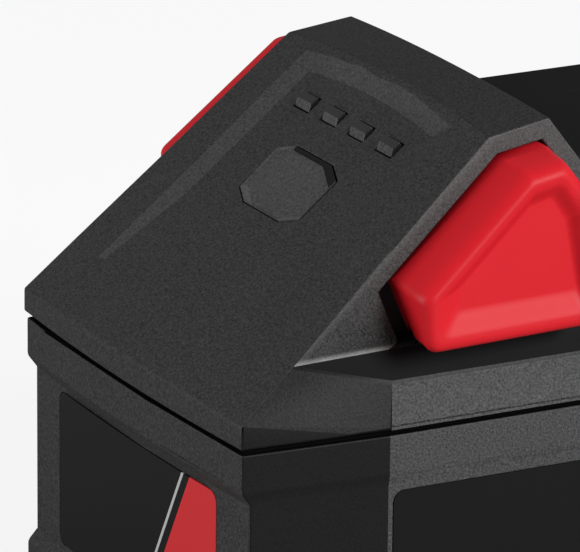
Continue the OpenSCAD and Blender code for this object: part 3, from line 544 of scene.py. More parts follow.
@dataclass(frozen=True)
class Film(Finish):
    """Printed label film with a plain slanted block and a fine rule."""

    axis: int
    middle: float
    half: float
    foot: float
    top: float
    ground: Colour = (0.008, 0.008, 0.008)
    block: Colour = (0.62, 0.03, 0.036)
    rule: Colour = (0.5, 0.5, 0.5)
    slant: float = 0.55
    block_from: float = 0.18
    block_edge: float = 0.12
    block_foot: float = 0.1
    rule_at: float = 0.1
    rule_width: tuple[float, float] = (0.42, 0.3)

    def draw(self, graph: Graph) -> None:
        """Draws the ground, the block, the rule and the film's grain.

        Args:
            graph: the node tree.
        """
        axes = graph.axes()
        along = axes[self.axis] - self.middle
        height = axes[2] - self.foot
        tall = self.top - self.foot
        lean = along - height * self.slant
        start = self.block_from * self.half
        upper = height.step(self.block_foot, tall * 0.02)
        block = lean.step(start, start + self.block_edge) * upper
        rule = abs(lean - self.rule_at * self.half).step(*self.rule_width)
        grain = graph.noise(0.22, 2.0)
        mark = graph.noise(4.0, 4.0, 0.6).step(0.62, 0.75)
        colour = graph.mix(graph.mix(self.ground, self.block, block), self.rule, rule)
        graph.surface(
            Base_Color=graph.shade(colour, 0.94 + grain * 0.12),
            Roughness=0.4 + (grain - 0.5) * 0.1 + mark * 0.08,
            Specular_IOR_Level=0.15,
            Normal=graph.bump(grain, 0.012),
        )


class Shade(Enum):
    """Base colours of the pack, in linear light."""

    CHARCOAL = (0.034, 0.034, 0.034)
    # From PANEL to LEDGE, each is the charcoal again for one zone: lighter as painted light, darker as
    # painted shade.
    PANEL = (0.062, 0.062, 0.063)
    LIP = (0.067, 0.067, 0.068)
    HOOD = (0.052, 0.052, 0.052)
    FACET = (0.021, 0.021, 0.021)
    CORNER = (0.009, 0.009, 0.009)
    BAND = (0.055, 0.055, 0.055)
    CROWN = (0.023, 0.023, 0.023)
    GAP = (0.003, 0.003, 0.003)
    LEDGE = (0.006, 0.006, 0.006)
    TOWER = (0.010, 0.010, 0.010)
    BUTTON = (0.064, 0.064, 0.064)
    BUTTON_LIT = (0.085, 0.085, 0.085)
    BUTTON_DIM = (0.013, 0.013, 0.013)
    RED = (0.62, 0.012, 0.020)
    IVORY = (0.60, 0.58, 0.50)
    BLACK = (0.016, 0.016, 0.017)
    CREAM = (0.70, 0.66, 0.54)
    TAN = (0.45, 0.33, 0.19)
    BROWN = (0.15, 0.05, 0.025)
    CLAY = (0.36, 0.22, 0.10)
    LIGHT = (0.80, 0.78, 0.68)


# The case's own charcoal, with a painted highlight along the slope's lower side edges.
CASE = Edged("case_charcoal", Shade.CHARCOAL.value, 0.56, 0.45, 0.12, 1.6)
# Painted shade: the nose's arched top gets the charcoal darker.
CROWN = Moulded("case_crown", Shade.CROWN.value, 0.56, 0.45, 0.12, 1.6)
# Painted light: the gauge recess's left and upper walls get the charcoal lighter.
BAND = Moulded("case_band", Shade.BAND.value, 0.56, 0.45, 0.12, 1.2)
# Painted light: the flat side panels get the charcoal lighter, as lit from the side.
PANEL = Moulded("case_panel", Shade.PANEL.value, 0.56, 0.4, 0.2, 1.5)
# Painted light: the upper side panels get the charcoal lighter, with the lip's painted shade line and
# painted light.
LIPPED = Lined("case_panel_lip", Shade.LIP.value, 0.56, 0.4, 0.2, 1.5)
# Painted light: the nose's side walls get the charcoal lighter, with the painted highlights and latch
# shadow of its kind.
HOOD = LitHood("case_hood_lit", Shade.HOOD.value, 0.54, 0.4, 0.2, 1.3)
# Painted shade: the leaning corner facets get the charcoal darker.
FACET = Moulded("case_facet", Shade.FACET.value, 0.56, 0.4, 0.13, 1.2)
# Painted shadow: the faces inside the gap between the cases are nearly black.
GAP = Moulded("case_gap", Shade.GAP.value, 0.7, 0.4, 0.03, 0.3, 0.08, 0.03)
# Painted shade: the upright front corners get the charcoal much darker.
CORNER = Moulded("case_corner", Shade.CORNER.value, 0.55, 0.42, 0.06, 0.5, 0.08, 0.15)
TOWER = Moulded("case_tower", Shade.TOWER.value, 0.65, 0.34, 0.05, 0.18, 0.08, 0.06)
# Painted shade: the slanted ledges under the latches get the charcoal nearly black.
LEDGE = Moulded("case_ledge", Shade.LEDGE.value, 0.6, 0.34, 0.05, 0.4, 0.08, 0.06)
LATCH_RED = Moulded("latch_red", Shade.RED.value, 0.45, 0.28, 0.02, 0.05, 0.03, 0.16)
BUTTON_GREY = Moulded("button_grey", Shade.BUTTON.value, 0.55, 0.5, 0.08, 1.0)
BUTTON_LIT = Moulded("button_lit", Shade.BUTTON_LIT.value, 0.55, 0.5, 0.08, 0.8)
BUTTON_DIM = Moulded("button_dim", Shade.BUTTON_DIM.value, 0.6, 0.5, 0.06, 0.4, 0.08, 0.05)
IVORY = Moulded("holder_ivory", Shade.IVORY.value, 0.5, 0.6, 0.03, 0.05)
BLACK = Moulded("moulded_black", Shade.BLACK.value, 0.45, 0.4, 0.03)
CREAM = Moulded("socket_cream", Shade.CREAM.value, 0.48, 0.5, 0.02, 0.05)
TAN = Moulded("plunger_tan", Shade.TAN.value, 0.4, 0.4, 0.02, 0.06)
BROWN = Moulded("probe_brown", Shade.BROWN.value, 0.3, 0.8, 0.04, 0.1)
CLAY = Moulded("capacitor_clay", Shade.CLAY.value, 0.45, 0.3, 0.02, 0.1)
DIFFUSER = Moulded("light_diffuser", Shade.LIGHT.value, 0.25, 0.5, 0.01, 0.04)
SMOKED = Smoked("smoked_window", (0.014, 0.014, 0.014), 0.3)
# Painted highlight: the windows' lower facets are light grey, as if catching the light.
WINDOW_GLINT = Moulded("window_foot_glint", (0.065, 0.065, 0.064), 0.35, 0.35, 0.06, 1.6, 0.5)
STEEL = Metal("zinc_steel", (0.50, 0.50, 0.52))
WIRE = Metal("spring_wire", (0.62, 0.63, 0.65), 0.24)
NICKEL = Metal("nickel_strip", (0.62, 0.60, 0.56), 0.3)
COPPER = Metal("copper_alloy", (0.58, 0.32, 0.14), 0.28)
SHUNT = Metal("shunt_alloy", (0.48, 0.27, 0.13), 0.4)
WRAP = Wrap("cell_wrap", (0.05, 0.19, 0.36))
MASK = Board("board_mask", (0.012, 0.09, 0.04), (0.05, 0.20, 0.08))
SHEET = Paper("fibre_sheet", (0.07, 0.19, 0.10))


@dataclass
class CadGroup:
    """CAD nodes that keep their shape and share one finish."""

    finish: Finish
    names: Sequence[str]

    def dress(self) -> None:
        """Gives each node the finish."""
        for name in self.names:
            node = frame["nodes"][name]
            node.data.materials.clear()
            node.data.materials.append(self.finish.material())
            log.info("%s: %s", name, self.finish.name)


@dataclass
class Piece:
    """A mesh of its own that stands for one CAD node and rides with the same body.

    Flat faces join below the angle of join, and edges stay sharp above the angle of sharp.
    """

    node: str
    finish: Finish
    zones: Sequence[tuple[Finish, Callable[[Vector, Vector], bool]]] = ()
    join: float = 0.1
    sharp: float = 26.0

    def body(self) -> str:
        """Name of the body that carries the node."""
        bodies = frame["record"]["behaviour"]["bodies"]
        return next(name for name, nodes in bodies.items() if self.node in nodes)

    def place(self, shape: bmesh.types.BMesh) -> bpy.types.Object:
        """Makes the object from a shape and puts it in the node's stead.

        Args:
            shape: the finished shape, which is freed here.

        Returns:
            The new object.
        """
        mesh = bpy.data.meshes.new(self.node + "_skin")
        bmesh.ops.recalc_face_normals(shape, faces=shape.faces)
        for face in shape.faces:
            middle = face.calc_center_median() / MM
            fits = [i for i, zone in enumerate(self.zones, 1) if zone[1](face.normal, middle)]
            face.material_index = fits[0] if fits else 0
        shape.to_mesh(mesh)
        shape.free()
        mesh.shade_smooth()
        mesh.set_sharp_from_angle(angle=math.radians(self.sharp))
        for finish in [self.finish, *(zone[0] for zone in self.zones)]:
            mesh.materials.append(finish.material())
        made = bpy.data.objects.new(self.node + "_skin", mesh)
        bpy.context.scene.collection.objects.link(made)
        weigh = made.modifiers.new("weigh", "WEIGHTED_NORMAL")
        weigh.keep_sharp = True
        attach(made, self.body())
        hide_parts(self.node)
        log.info("%s: %d faces, %s", made.name, len(mesh.polygons), self.finish.name)
        return made

    def source(self) -> bmesh.types.BMesh:
        """Copies the node's mesh and joins its flat faces.

        Returns:
            The copy.
        """
        shape = bmesh.new()
        shape.from_mesh(frame["nodes"][self.node].data)
        bmesh.ops.remove_doubles(shape, verts=shape.verts, dist=WELD)
        limit = math.radians(self.join)
        bmesh.ops.dissolve_limit(shape, angle_limit=limit, verts=shape.verts, edges=shape.edges)
        return shape

    @staticmethod
    def bridge(
        shape: bmesh.types.BMesh,
        near: Sequence[bmesh.types.BMVert],
        far: Sequence[bmesh.types.BMVert],
    ) -> None:
        """Spans two closed rings with faces.

        Args:
            shape: the shape that gets the faces.
            near: corners of the first ring, in turn.
            far: corners of the second ring, as many.
        """
        for i in range(len(near)):
            j = (i + 1) % len(near)
            shape.faces.new((near[i], near[j], far[j], far[i]))


@dataclass
class Softened(Piece):
    """A moulded piece whose outer edges are rounded."""

    radius: float = 0.5
    small: float = 0.15
    fine: Callable[[Vector], bool] = lambda place: False
    crisp: Callable[[Vector], bool] = lambda place: False
    flat: float = math.radians(8.0)
    room: float = 2.2
    clear: float = 0.05

    def build(self) -> bpy.types.Object:
        """Rounds the exposed edges, finer where fine says so and not at all where crisp does.

        Returns:
            The new object.
        """
        shape = self.source()
        tree = BVHTree.FromBMesh(shape)
        picked: dict[bool, list[bmesh.types.BMEdge]] = {True: [], False: []}
        for edge in shape.edges:
            middle = (edge.verts[0].co + edge.verts[1].co) / 2
            slight = bool(self.fine(middle / MM))
            if self.crisp(middle / MM):
                continue
            if self._exposed(edge, middle, tree, self.small if slight else self.radius):
                picked[slight].append(edge)
        for slight, edges in picked.items():
            bmesh.ops.bevel(
                shape,
                geom=edges,
                offset=(self.small if slight else self.radius) * MM,
                offset_type="OFFSET",
                segments=2 if slight else 4,
                profile=0.5,
                affect="EDGES",
                clamp_overlap=False,
            )
        counts = len(picked[False]), len(picked[True])
        log.info("%s: %d edges, %d fine edges rounded", self.node, *counts)
        return self.place(shape)

    def _exposed(
        self, edge: bmesh.types.BMEdge, middle: Vector, tree: BVHTree, radius: float
    ) -> bool:
        """Tells whether an edge is convex, clear of thin faces and open to the outside.

        Args:
            edge: the edge.
            middle: the edge's middle, in metres.
            tree: the whole shape, for the look outward.
            radius: radius that the edge would get, in millimetres.

        Returns:
            Whether the edge can be rounded.
        """
        if len(edge.link_faces) != 2 or not edge.is_convex:
            return False
        if edge.calc_face_angle(0.0) < self.flat:
            return False
        length = edge.calc_length()
        if length < 2.0 * radius * MM:
            return False
        if any(face.calc_area() / length < self.room * radius * MM for face in edge.link_faces):
            return False
        outward = (edge.link_faces[0].normal + edge.link_faces[1].normal).normalized()
        return tree.ray_cast(middle + outward * self.clear * MM, outward)[0] is None


@dataclass
class Nose(Softened):
    """The upper case, whose gauge recess keeps broad side walls further down the slope."""

    bend: Vector = field(default_factory=lambda: Vector((23.13, 7.74, -0.05)))
    foot: Vector = field(default_factory=lambda: Vector((28.53, -27.11, 0.54)))
    moved: Vector = field(default_factory=lambda: Vector((21.9, -10.0, 0.42)))
    toe: float = 0.3

    def source(self) -> bmesh.types.BMesh:
        """Copies the node's mesh and widens the recess's side walls.

        Returns:
            The copy.
        """
        shape = super().source()
        for side in (-1.0, 1.0):
            self._widen(shape, Vector((side, 1.0, 1.0)))
        return shape

    def _widen(self, shape: bmesh.types.BMesh, side: Vector) -> None:
        """Moves the bend of one wall's inner edge down and gives the wall's lower end a width.

        Args:
            shape: the upper case.
            side: factors of the place, which tell the left wall from the right one.
        """
        bend = self._nearest(shape, self.bend * side)
        foot = self._nearest(shape, self.foot * side)
        level = [edge for edge in foot.link_edges if self._runs_in(edge, foot)]
        bend.co = SLOPE.point(self.moved * side) * MM
        toe = bmesh.utils.edge_split(level[0], foot, self.toe)[1]
        bmesh.ops.connect_verts(shape, verts=[bend, toe])
        rib = [edge for edge in bend.link_edges if edge.other_vert(bend) is foot]
        bmesh.ops.dissolve_edges(shape, edges=rib, use_verts=False)

    @staticmethod
    def _nearest(shape: bmesh.types.BMesh, place: Vector) -> bmesh.types.BMVert:
        """Corner of the shape that is nearest to a place on the slope."""
        spot = SLOPE.point(place) * MM
        return min(shape.verts, key=lambda vert: (vert.co - spot).length)

    @staticmethod
    def _runs_in(edge: bmesh.types.BMEdge, foot: bmesh.types.BMVert) -> bool:
        """Tells whether an edge runs level from a corner towards the middle of the slope."""
        start, end = (SLOPE.place(vert.co / MM) for vert in (foot, edge.other_vert(foot)))
        return abs(end.y - start.y) < 0.1 and abs(end.x) < abs(start.x)


@dataclass
class Button(Piece):
    """The gauge button, with facets round the floor of its dish."""

    sharp: float = 12.0
    deep: float = 0.5
    insets: Sequence[float] = (1.1, 0.3, 1.1, 0.25, 1.7, 0.7, 0.4, 0.25)
    cut: float = 0.65
    touch: float = 0.01

    def build(self) -> bpy.types.Object:
        """Keeps the CAD's side walls and fills them with a faceted dish.

        Returns:
            The new object.
        """
        shape = self.source()
        top = max(SLOPE.place(vert.co / MM).z for vert in shape.verts)
        doomed = [
            face
            for face in shape.faces
            if all(SLOPE.place(vert.co / MM).z > top - self.cut for vert in face.verts)
        ]
        bmesh.ops.delete(shape, geom=doomed, context="FACES")
        rim = [vert for vert in shape.verts if SLOPE.place(vert.co / MM).z > top - self.touch]
        rim.sort(key=lambda vert: math.atan2(*SLOPE.place(vert.co / MM).yx))
        floor = [shape.verts.new(SLOPE.point(place) * MM) for place in self._floor(rim, top)]
        self.bridge(shape, rim, floor)
        shape.faces.new(floor)
        return self.place(shape)

    def _floor(self, rim: Sequence[bmesh.types.BMVert], top: float) -> list[Vector]:
        """Corners of the dish's floor.

        Args:
            rim: corners of the button's rim, in turn.
            top: height of the rim over the slope.

        Returns:
            The corners across, along and out of the slope, in millimetres.
        """
        ring = [SLOPE.place(vert.co / MM).xy for vert in rim]
        lines = []
        for i, place in enumerate(ring):
            along = ring[(i + 1) % len(ring)] - place
            out = Vector((along.y, -along.x)).normalized()
            lines.append((out, out.dot(place) - self.insets[i]))
        corners = []
        for (out, reach), (other, far) in zip([lines[-1], *lines], lines):
            corner = Matrix((out, other)).inverted() @ Vector((reach, far))
            corners.append(Vector((*corner, top - self.deep)))
        return corners


@dataclass
class Latch(Piece):
    """A latch whose paddle is lofted over the CAD outlines with soft ridges.

    Where a size is a pair, it holds for the paddle's upper and its lower corners.
    """

    sharp: float = 50.0
    side: int = 1
    stand: float = 9.3
    dish: float = 0.9
    sink: float = 0.5
    stem: float = 36.5
    radius: float = 2.4
    hang: float = 0.6
    lift: tuple[float, float] = (0.3, 0.0)
    inset: tuple[float, float] = (2.4, 0.0)
    spread: tuple[float, float] = (3.3, 0.3)
    ridge: tuple[float, float] = (5.0, 3.0)
    crown: tuple[float, float] = (0.25, 0.4)
    flare: Sequence[float] = (0.0, 0.04, 0.15, 0.4, 0.7)
    kept: float = 4.0
    behind: float = 2.2
    aim: float = 6.0
    below: float = 8.0
    inner_lift: float = 0.6
    rim_share: float = 0.85
    floor_share: float = 0.08
    leg_share: float = 0.45
    touch: float = 0.02
    same: float = 0.05
    weld: float = 0.03
    corner: Vector = field(default_factory=lambda: Vector((40.0, -SLOPE.front, SLOPE.foot)))
    taper: float = math.radians(3.62)
    lean: float = math.radians(3.3)

    def build(self) -> bpy.types.Object:
        """Keeps the inner half of the CAD latch and lofts the paddle.

        Returns:
            The new object.
        """
        shape = self.source()
        for vert in shape.verts:
            vert.co.x *= self.side
        rings = self._outlines(shape)
        whole = [*shape.verts, *shape.edges, *shape.faces]
        bmesh.ops.bisect_plane(
            shape, geom=whole, plane_co=self._inside() * MM, plane_no=self._normal()
        )
        doomed = [
            face
            for face in shape.faces
            if any(self._out(vert.co) > self.kept for vert in face.verts)
        ]
        bmesh.ops.delete(shape, geom=doomed, context="FACES")
        self._loft(shape, *rings)
        for vert in shape.verts:
            vert.co.x *= self.side
        return self.place(shape)

    def _inside(self) -> Vector:
        """A place just inside the nose's side wall, in millimetres."""
        return self.corner - self._normal() * self.behind

    def _normal(self) -> Vector:
        """Outward direction of the nose's side wall."""
        flat = math.cos(self.lean)
        across, along = math.cos(self.taper) * flat, math.sin(self.taper) * flat
        return Vector((across, along, math.sin(self.lean)))

    def _out(self, place: Vector) -> float:
        """Distance of a place out of the nose's side wall, in millimetres."""
        return (place / MM - self.corner).dot(self._normal())

    def _standing(self, places: Sequence[Vector], height: float) -> list[Vector]:
        """Those of some places that stand out of the nose's side wall by a height."""
        return [place for place in places if abs(self._out(place * MM) - height) < self.touch]

    def _outlines(self, shape: bmesh.types.BMesh) -> list[list[Vector]]:
        """Finds the corners of the stem, the face, the dish and the dish's floor.

        Args:
            shape: the CAD latch.

        Returns:
            Four rings of corners in the same order, in millimetres.
        """
        places = self._apart([vert.co / MM for vert in shape.verts])
        stem = [place for place in places if abs(place.x - self.stem) < self.touch]
        floor = self._standing(places, self.stand - self.dish)
        middle = sum(floor, Vector()) / len(floor)
        level = self._turned(self._standing(places, self.stand), middle)
        pairs = [
            sorted(pair, key=lambda place: (place - middle).length)
            for pair in zip(level[::2], level[1::2])
        ]
        dish, face = ([pair[i] for pair in pairs] for i in (0, 1))
        return [self._turned(stem, middle), face, dish, self._turned(floor, middle)]

    def _apart(self, places: Sequence[Vector]) -> list[Vector]:
        """Drops places that repeat an earlier one.

        Args:
            places: the places, in millimetres.

        Returns:
            Those that are left, in the same order.
        """
        kept: list[Vector] = []
        for place in places:
            if all((place - other).length > self.same for other in kept):
                kept.append(place)
        return kept

    @staticmethod
    def _turned(ring: Sequence[Vector], middle: Vector) -> list[Vector]:
        """Sorts corners by their angle round a middle as seen from the side."""
        return sorted(ring, key=lambda place: math.atan2(place.z - middle.z, place.y - middle.y))

    def _loft(
        self,
        shape: bmesh.types.BMesh,
        stem: Sequence[Vector],
        face: Sequence[Vector],
        dish: Sequence[Vector],
        floor: Sequence[Vector],
    ) -> None:
        """Adds the soft surface over the rings.

        Args:
            shape: the latch that gets the surface.
            stem: corners where the paddle leaves the stem.
            face: corners of the outer edge of the face.
            dish: corners of the inner edge of the rim.
            floor: corners of the dish's floor.
        """
        out, up = self._normal(), Vector((0.0, 0.0, 1.0))
        drop = out * self.sink
        middle = sum(floor, Vector()) / len(floor) - drop
        aim = middle - up * self.aim
        low = [int(place.z < middle.z - self.below) for place in face]
        face = [f + out * self.lift[k] - up * (self.hang * k) for f, k in zip(face, low)]
        dish = [
            d + out * self.lift[k] * self.inner_lift + (aim - d).normalized() * self.inset[k]
            for d, k in zip(dish, low)
        ]
        floor = [g - drop + (aim - g).normalized() * self.spread[k] for g, k in zip(floor, low)]
        inner = [g.lerp(middle, self.floor_share) for g in floor]
        waist = [f + (s - f).normalized() * self.ridge[k] for s, f, k in zip(stem, face, low)]
        rim = [f.lerp(d, self.rim_share) for f, d in zip(face, dish)]
        wall = [d.lerp(g, 0.5) for d, g in zip(dish, floor)]
        crest = [
            f + (f - w.lerp(r, 0.5)) * self.crown[k]
            for f, w, r, k in zip(face, waist, rim, low)
        ]
        rings = []
        for share in self.flare:
            corners = [s.lerp(w, share) for s, w in zip(stem, waist)]
            rings.append(self._rounded(corners, self.radius * share ** 0.35))
        # Each bend: first ring, turning ring and last ring with shares of the radius, then the steps.
        bends = [
            ((waist, 1.0), (crest, 1.0), (rim, 0.85), 9),
            ((rim, 0.85), (dish, 0.75), (wall, 0.65), 5),
            ((wall, 0.65), (floor, 0.55), (inner, 0.45), 5),
        ]
        for *three, steps in bends:
            curves = zip(*(self._rounded(ring, self.radius * share) for ring, share in three))
            rings += zip(*(self._bend(*curve, steps) for curve in curves))
        rows = [[shape.verts.new(place * MM) for place in ring] for ring in rings]
        for near, far in zip(rows, rows[1:]):
            self.bridge(shape, near, far)
        shape.faces.new(rows[-1])
        bmesh.ops.remove_doubles(shape, verts=shape.verts, dist=self.weld * MM)

    @staticmethod
    def _bend(start: Vector, turn: Vector, end: Vector, steps: int) -> list[Vector]:
        """Points along a curve that leaves start towards turn and comes from there to end.

        Args:
            start: first point.
            turn: point that pulls the curve.
            end: last point.
            steps: how many points there are, with both ends.

        Returns:
            The points in turn.
        """
        shares = [step / (steps - 1) for step in range(steps)]
        return [start * (1 - t) ** 2 + turn * (2 * t * (1 - t)) + end * (t * t) for t in shares]

    def _rounded(self, ring: Sequence[Vector], radius: float, steps: int = 7) -> list[Vector]:
        """Ring of points along an outline whose corners are rounded.

        Args:
            ring: corners of the outline.
            radius: radius of the corners in millimetres.
            steps: points at each corner.

        Returns:
            The points, in the order of the corners.
        """
        points = []
        for i, corner in enumerate(ring):
            before, after = ring[i - 1] - corner, ring[(i + 1) % len(ring)] - corner
            reach = radius / math.tan(before.angle(after) / 2)
            reach = min(reach, self.leg_share * before.length, self.leg_share * after.length)
            start, end = (corner + leg.normalized() * reach for leg in (before, after))
            points += self._bend(start, corner, end, steps)
        return points


@dataclass
class Spring(Piece):
    """A latch's return spring."""

    sharp: float = 60.0
    joint: str = ""

    def build(self) -> bpy.types.Object:
        """Copies the coil into a mesh of its own.

        Returns:
            The new object.
        """
        ends = sorted(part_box(self.node), key=lambda corner: abs(corner.x))
        joints = frame["record"]["behaviour"]["joints"]
        travel = next(joint["range_m"][1] for joint in joints if joint["name"] == self.joint)
        made = self.place(self.source())
        keep = 1.0 - travel / abs(ends[1].x - ends[0].x)
        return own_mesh(made)


@dataclass
class Labels:
    """The three label films on the lower case."""

    fronts: Sequence[str] = ("front_label",)
    sides: Sequence[str] = ("side_label_left", "side_label_right")

    def dress(self) -> None:
        """Gives each label its printed film."""
        for name in self.fronts:
            self._film(name, 0)
        for name in self.sides:
            self._film(name, 1)

    def _film(self, name: str, axis: int) -> None:
        """Dresses one label.

        Args:
            name: the label's node.
            axis: axis that the label's length runs along.
        """
        low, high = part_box(name)
        middle = (low[axis] + high[axis]) / 2 / MM
        half = (high[axis] - low[axis]) / 2 / MM
        finish = Film("film_" + name, axis, middle, half, low.z / MM, high.z / MM)
        CadGroup(finish, [name]).dress()


@dataclass
class Studio:
    """Floor, light and camera."""

    eye: Vector = field(default_factory=lambda: Vector((952.2, -534.7, 403.8)) * MM)
    azimuth: float = 62.341
    elevation: float = 17.726
    roll: float = -0.491
    lens: float = 426.46
    sensor: float = 36.0
    clip: tuple[float, float] = (0.05, 30.0)
    reach: float = 6.0
    level: float = -0.4 * MM
    target: Vector = field(default_factory=lambda: Vector((0.0, 0.0, 0.06)))

    def build(self) -> None:
        """Makes the world, the floor, the lamps and the camera."""
        bpy.context.scene.view_settings.view_transform = "Standard"
        self._world()
        self._floor()
        self._lamps()
        self._camera()

    def _world(self) -> None:
        """Soft grey light all round, white where it is seen."""
        world = bpy.data.worlds.new("studio")
        bpy.context.scene.world = world
        world.use_nodes = True
        graph = Graph(world.node_tree)
        seen = graph.node("ShaderNodeLightPath", out="Is Camera Ray")
        light, white = (
            graph.node("ShaderNodeBackground", None, {"Color": WHITE, "Strength": strength})
            for strength in (0.22, 1.0)
        )
        both = graph.node("ShaderNodeMixShader", None, {0: seen, 1: light, 2: white})
        graph.node("ShaderNodeOutputWorld", None, {0: both})

    def _floor(self) -> None:
        """Pale floor that keeps a soft shadow."""
        mesh = bpy.data.meshes.new("floor")
        signs = ((-1, -1), (1, -1), (1, 1), (-1, 1))
        corners = [(x * self.reach, y * self.reach, self.level) for x, y in signs]
        mesh.from_pydata(corners, [], [(0, 1, 2, 3)])
        floor = bpy.data.objects.new("floor", mesh)
        bpy.context.scene.collection.objects.link(floor)
        made = bpy.data.materials.new("pale_floor")
        made.use_nodes = True
        graph = Graph(made.node_tree)
        seen = graph.node("ShaderNodeLightPath", out="Is Camera Ray")
        grey = graph.node("ShaderNodeBsdfDiffuse", None, {"Color": (0.35, 0.35, 0.35, 1.0)})
        pale = graph.node("ShaderNodeBsdfDiffuse", None, {"Color": (0.9, 0.9, 0.9, 1.0)})
        white = graph.node("ShaderNodeEmission", None, {"Color": WHITE, "Strength": 1.0})
        shown = graph.node("ShaderNodeMixShader", None, {0: 0.85, 1: pale, 2: white})
        both = graph.node("ShaderNodeMixShader", None, {0: seen, 1: grey, 2: shown})
        graph.node("ShaderNodeOutputMaterial", None, {0: both})
        mesh.materials.append(made)

    def _lamps(self) -> None:
        """A soft lamp from the front left, one from the right rear and a weak one from behind."""
        self._lamp("front", (-0.35, -1.5, 0.4), 1.0, 17.5)
        self._lamp("side", (1.32, 0.66, 0.74), 0.7, 27.0)
        self._lamp("rear", (0.2, 1.5, 1.2), 0.8, 2.5)

    def _lamp(self, name: str, place: Sequence[float], size: float, power: float) -> None:
        """Adds a square area lamp that faces the pack.

        Args:
            name: the lamp's name.
            place: where it stands, in metres.
            size: length of its sides, in metres.
            power: power in watts.
        """
        data = bpy.data.lights.new(name, "AREA")
        data.size = size
        data.energy = power
        lamp = bpy.data.objects.new(name, data)
        lamp.location = place
        lamp.rotation_euler = (self.target - Vector(place)).to_track_quat("-Z", "Y").to_euler()
        bpy.context.scene.collection.objects.link(lamp)

    def _camera(self) -> None:
        """Camera at the photograph's angle, turned a little about its own axis."""
        a, e, r = (math.radians(v) for v in (self.azimuth, self.elevation, self.roll))
        back = Vector((math.sin(a) * math.cos(e), -math.cos(a) * math.cos(e), math.sin(e)))
        right = Vector((math.cos(a), math.sin(a), 0.0))
        up = back.cross(right)
        turned = right * math.cos(r) - up * math.sin(r)
        upright = right * math.sin(r) + up * math.cos(r)
        data = bpy.data.cameras.new("camera")
        data.lens = self.lens
        data.sensor_width = self.sensor
        data.clip_start, data.clip_end = self.clip
        camera = bpy.data.objects.new("camera", data)
        rows = [(turned[i], upright[i], back[i], self.eye[i]) for i in range(3)]
        camera.matrix_world = Matrix([*rows, (0, 0, 0, 1)])
        bpy.context.scene.collection.objects.link(camera)
        bpy.context.scene.camera = camera


SIDE = 38.0
CORNER_END = -39.0
LIP_FOOT = 46.8
NOSE_BACK = 1.0
WALL_TAPER, WALL_LEAN = 0.0634, 0.0578


def on_gauge(place: Vector) -> bool:
    """Tells whether a place in millimetres lies round the gauge's button and windows."""
    return abs(place.x) < 20.0 and -8.4 < SLOPE.place(place).y < 18.6


def on_nose_edge(place: Vector) -> bool:
    """Tells whether a place in millimetres lies between the slope and a corner facet."""
    return abs(place.x) > 38.5 and place.y < -53.0 and place.z > 51.0


def on_far_facet(normal: Vector, place: Vector) -> bool:
    """Tells whether a face belongs to the button's facets at its upper right."""
    spot = SLOPE.place(place)
    return spot.y > 3.2 and spot.x > -5.5


def on_near_facet(normal: Vector, place: Vector) -> bool:
    """Tells whether a face belongs to the button's facets at its lower corners."""
    spot = SLOPE.place(place)
    return spot.y < -3.2 and abs(spot.x) > 5.0


def on_window_foot(normal: Vector, place: Vector) -> bool:
    """Tells whether a face belongs to the lower facets of the light windows, which get a painted
    highlight.
    """
    return normal.y < -0.75 and normal.z > -0.3


def on_flank(normal: Vector, place: Vector) -> bool:
    """Tells whether a face belongs to the flat side panels behind the front corners, which get painted
    light.
    """
    upright = abs(normal.x) > 0.98 or (abs(normal.x) > 0.5 and normal.z < -0.3)
    return upright and abs(place.x) > SIDE and place.y > CORNER_END


def on_corner(normal: Vector, place: Vector) -> bool:
    """Tells whether a face belongs to the upright front corners, which get painted shade."""
    low = place.z < LIP_FOOT or (place.z < 50.7 and normal.z < 0.1)
    return low and abs(normal.x) > 0.6 and abs(place.x) > SIDE and place.y < CORNER_END


def on_ledge(normal: Vector, place: Vector) -> bool:
    """Tells whether a face belongs to the slanted ledges over the side panels, which get painted shade.
    """
    slant = abs(normal.x) > 0.5 and normal.z > 0.4 and normal.y > 0.0
    return slant and abs(place.x) > 37.0 and 54.0 < place.z < 59.2


def on_facet(normal: Vector, place: Vector) -> bool:
    """Tells whether a face belongs to the leaning facets at the front corners, which get painted shade.
    """
    leaning = abs(normal.x) > 0.9 and normal.z > 0.06
    return leaning and place.y < -38.5 and LIP_FOOT < place.z < 58.9


def on_hood(normal: Vector, place: Vector) -> bool:
    """Tells whether a face belongs to the nose's side walls."""
    return abs(normal.x) > 0.6 and 59.0 < place.z and place.y < NOSE_BACK


def on_band(normal: Vector, place: Vector) -> bool:
    """Tells whether a face belongs to the left or the upper wall of the gauge's recess, which get
    painted light.
    """
    side = 0.07 < normal.x < 0.35 and -30.0 < place.x < -20.0
    top = -0.95 < normal.y < -0.8
    return (side or top) and normal.z > 0.4 and 55.0 < place.z < 91.5


def on_crown(normal: Vector, place: Vector) -> bool:
    """Tells whether a face belongs to the nose's arched top, which gets painted shade."""
    return normal.z > 0.9 and place.z > 84.0 and place.y < NOSE_BACK


def in_gap(normal: Vector, place: Vector) -> bool:
    """Tells whether a face of the lower case lies in the gap under the upper one, where painted shadow
    goes.
    """
    return place.z > 46.9 or (place.z > 45.5 and normal.z > 0.8)


def on_tower(normal: Vector, place: Vector) -> bool:
    """Tells whether a face belongs to the rail tower."""
    return place.y > NOSE_BACK and place.z > 59.5


def in_case(normal: Vector, place: Vector) -> bool:
    """Tells whether a face of a latch lies behind the nose's side wall."""
    back, up = (place.y + SLOPE.front) * WALL_TAPER, (place.z - SLOPE.foot) * WALL_LEAN
    return abs(place.x) + back + up < 37.7


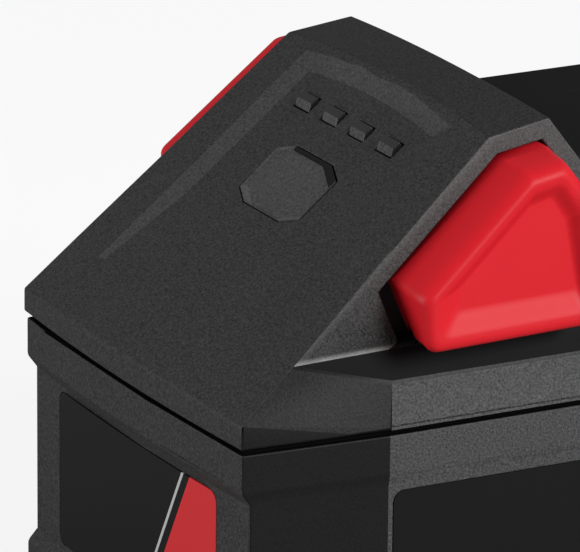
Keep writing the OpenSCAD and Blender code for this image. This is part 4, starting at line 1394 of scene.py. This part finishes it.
LOW_ZONES = [(GAP, in_gap), (PANEL, on_flank), (CORNER, on_corner)]
TOP_ZONES = [
    (FACET, on_facet),
    (LIPPED, on_flank),
    (CORNER, on_corner),
    (LEDGE, on_ledge),
    (HOOD, on_hood),
    (BAND, on_band),
    (CROWN, on_crown),
    (TOWER, on_tower),
]
BUTTON_ZONES = [(BUTTON_DIM, on_far_facet), (BUTTON_LIT, on_near_facet)]
# Painted shade: a latch's part behind the nose's side wall is black, to darken the pocket round the
# latch.
LATCH_ZONES = [(BLACK, in_case)]


def main() -> None:
    """Dresses every piece and sets the studio."""
    logging.basicConfig(level=logging.INFO, format="%(message)s")
    sides, parts = ("left", "right"), ("front", "middle", "rear")
    groups = [
        CadGroup(MASK, ["gauge_board", "main_board"]),
        CadGroup(DIFFUSER, ["gauge_lights"]),
        CadGroup(BLACK, ["gauge_switch", "power_transistors", "control_chip", "terminal_block"]),
        CadGroup(TAN, ["switch_plunger"]),
        CadGroup(STEEL, ["gauge_screws", "case_screws", "board_screws"]),
        CadGroup(CREAM, ["gauge_cable", "cable_sockets"]),
        CadGroup(IVORY, ["cell_holder_left", "cell_holder_right"]),
        CadGroup(WRAP, [f"cell_{i}" for i in range(1, 11)]),
        CadGroup(NICKEL, [f"strap_{side}_{part}" for side in sides for part in parts]),
        CadGroup(SHEET, ["insulator_left", "insulator_right"]),
        CadGroup(SHUNT, ["current_shunt"]),
        CadGroup(CLAY, ["capacitors"]),
        CadGroup(BROWN, ["temperature_probe"]),
        CadGroup(COPPER, ["terminal_positive", "terminal_negative", "signal_terminals"]),
    ]
    for group in groups:
        group.dress()
    Labels().dress()
    for piece in (
        Nose("top_case", CASE, TOP_ZONES, 0.4, radius=0.4, fine=on_gauge, crisp=on_nose_edge),
        Softened("lower_case", CASE, LOW_ZONES, 2.0, radius=0.4),
        Button("gauge_button", BUTTON_GREY, BUTTON_ZONES),
        Softened("gauge_lens", SMOKED, [(WINDOW_GLINT, on_window_foot)], radius=0.2),
        Latch("latch_right", LATCH_RED, LATCH_ZONES, side=1),
        Latch("latch_left", LATCH_RED, LATCH_ZONES, side=-1, crown=(1.2, 0.4)),
        Spring("latch_spring_right", WIRE, joint="right_latch_slide"),
        Spring("latch_spring_left", WIRE, joint="left_latch_slide"),
    ):
        piece.build()
    Studio().build()


if __name__ == "__main__":
    main()
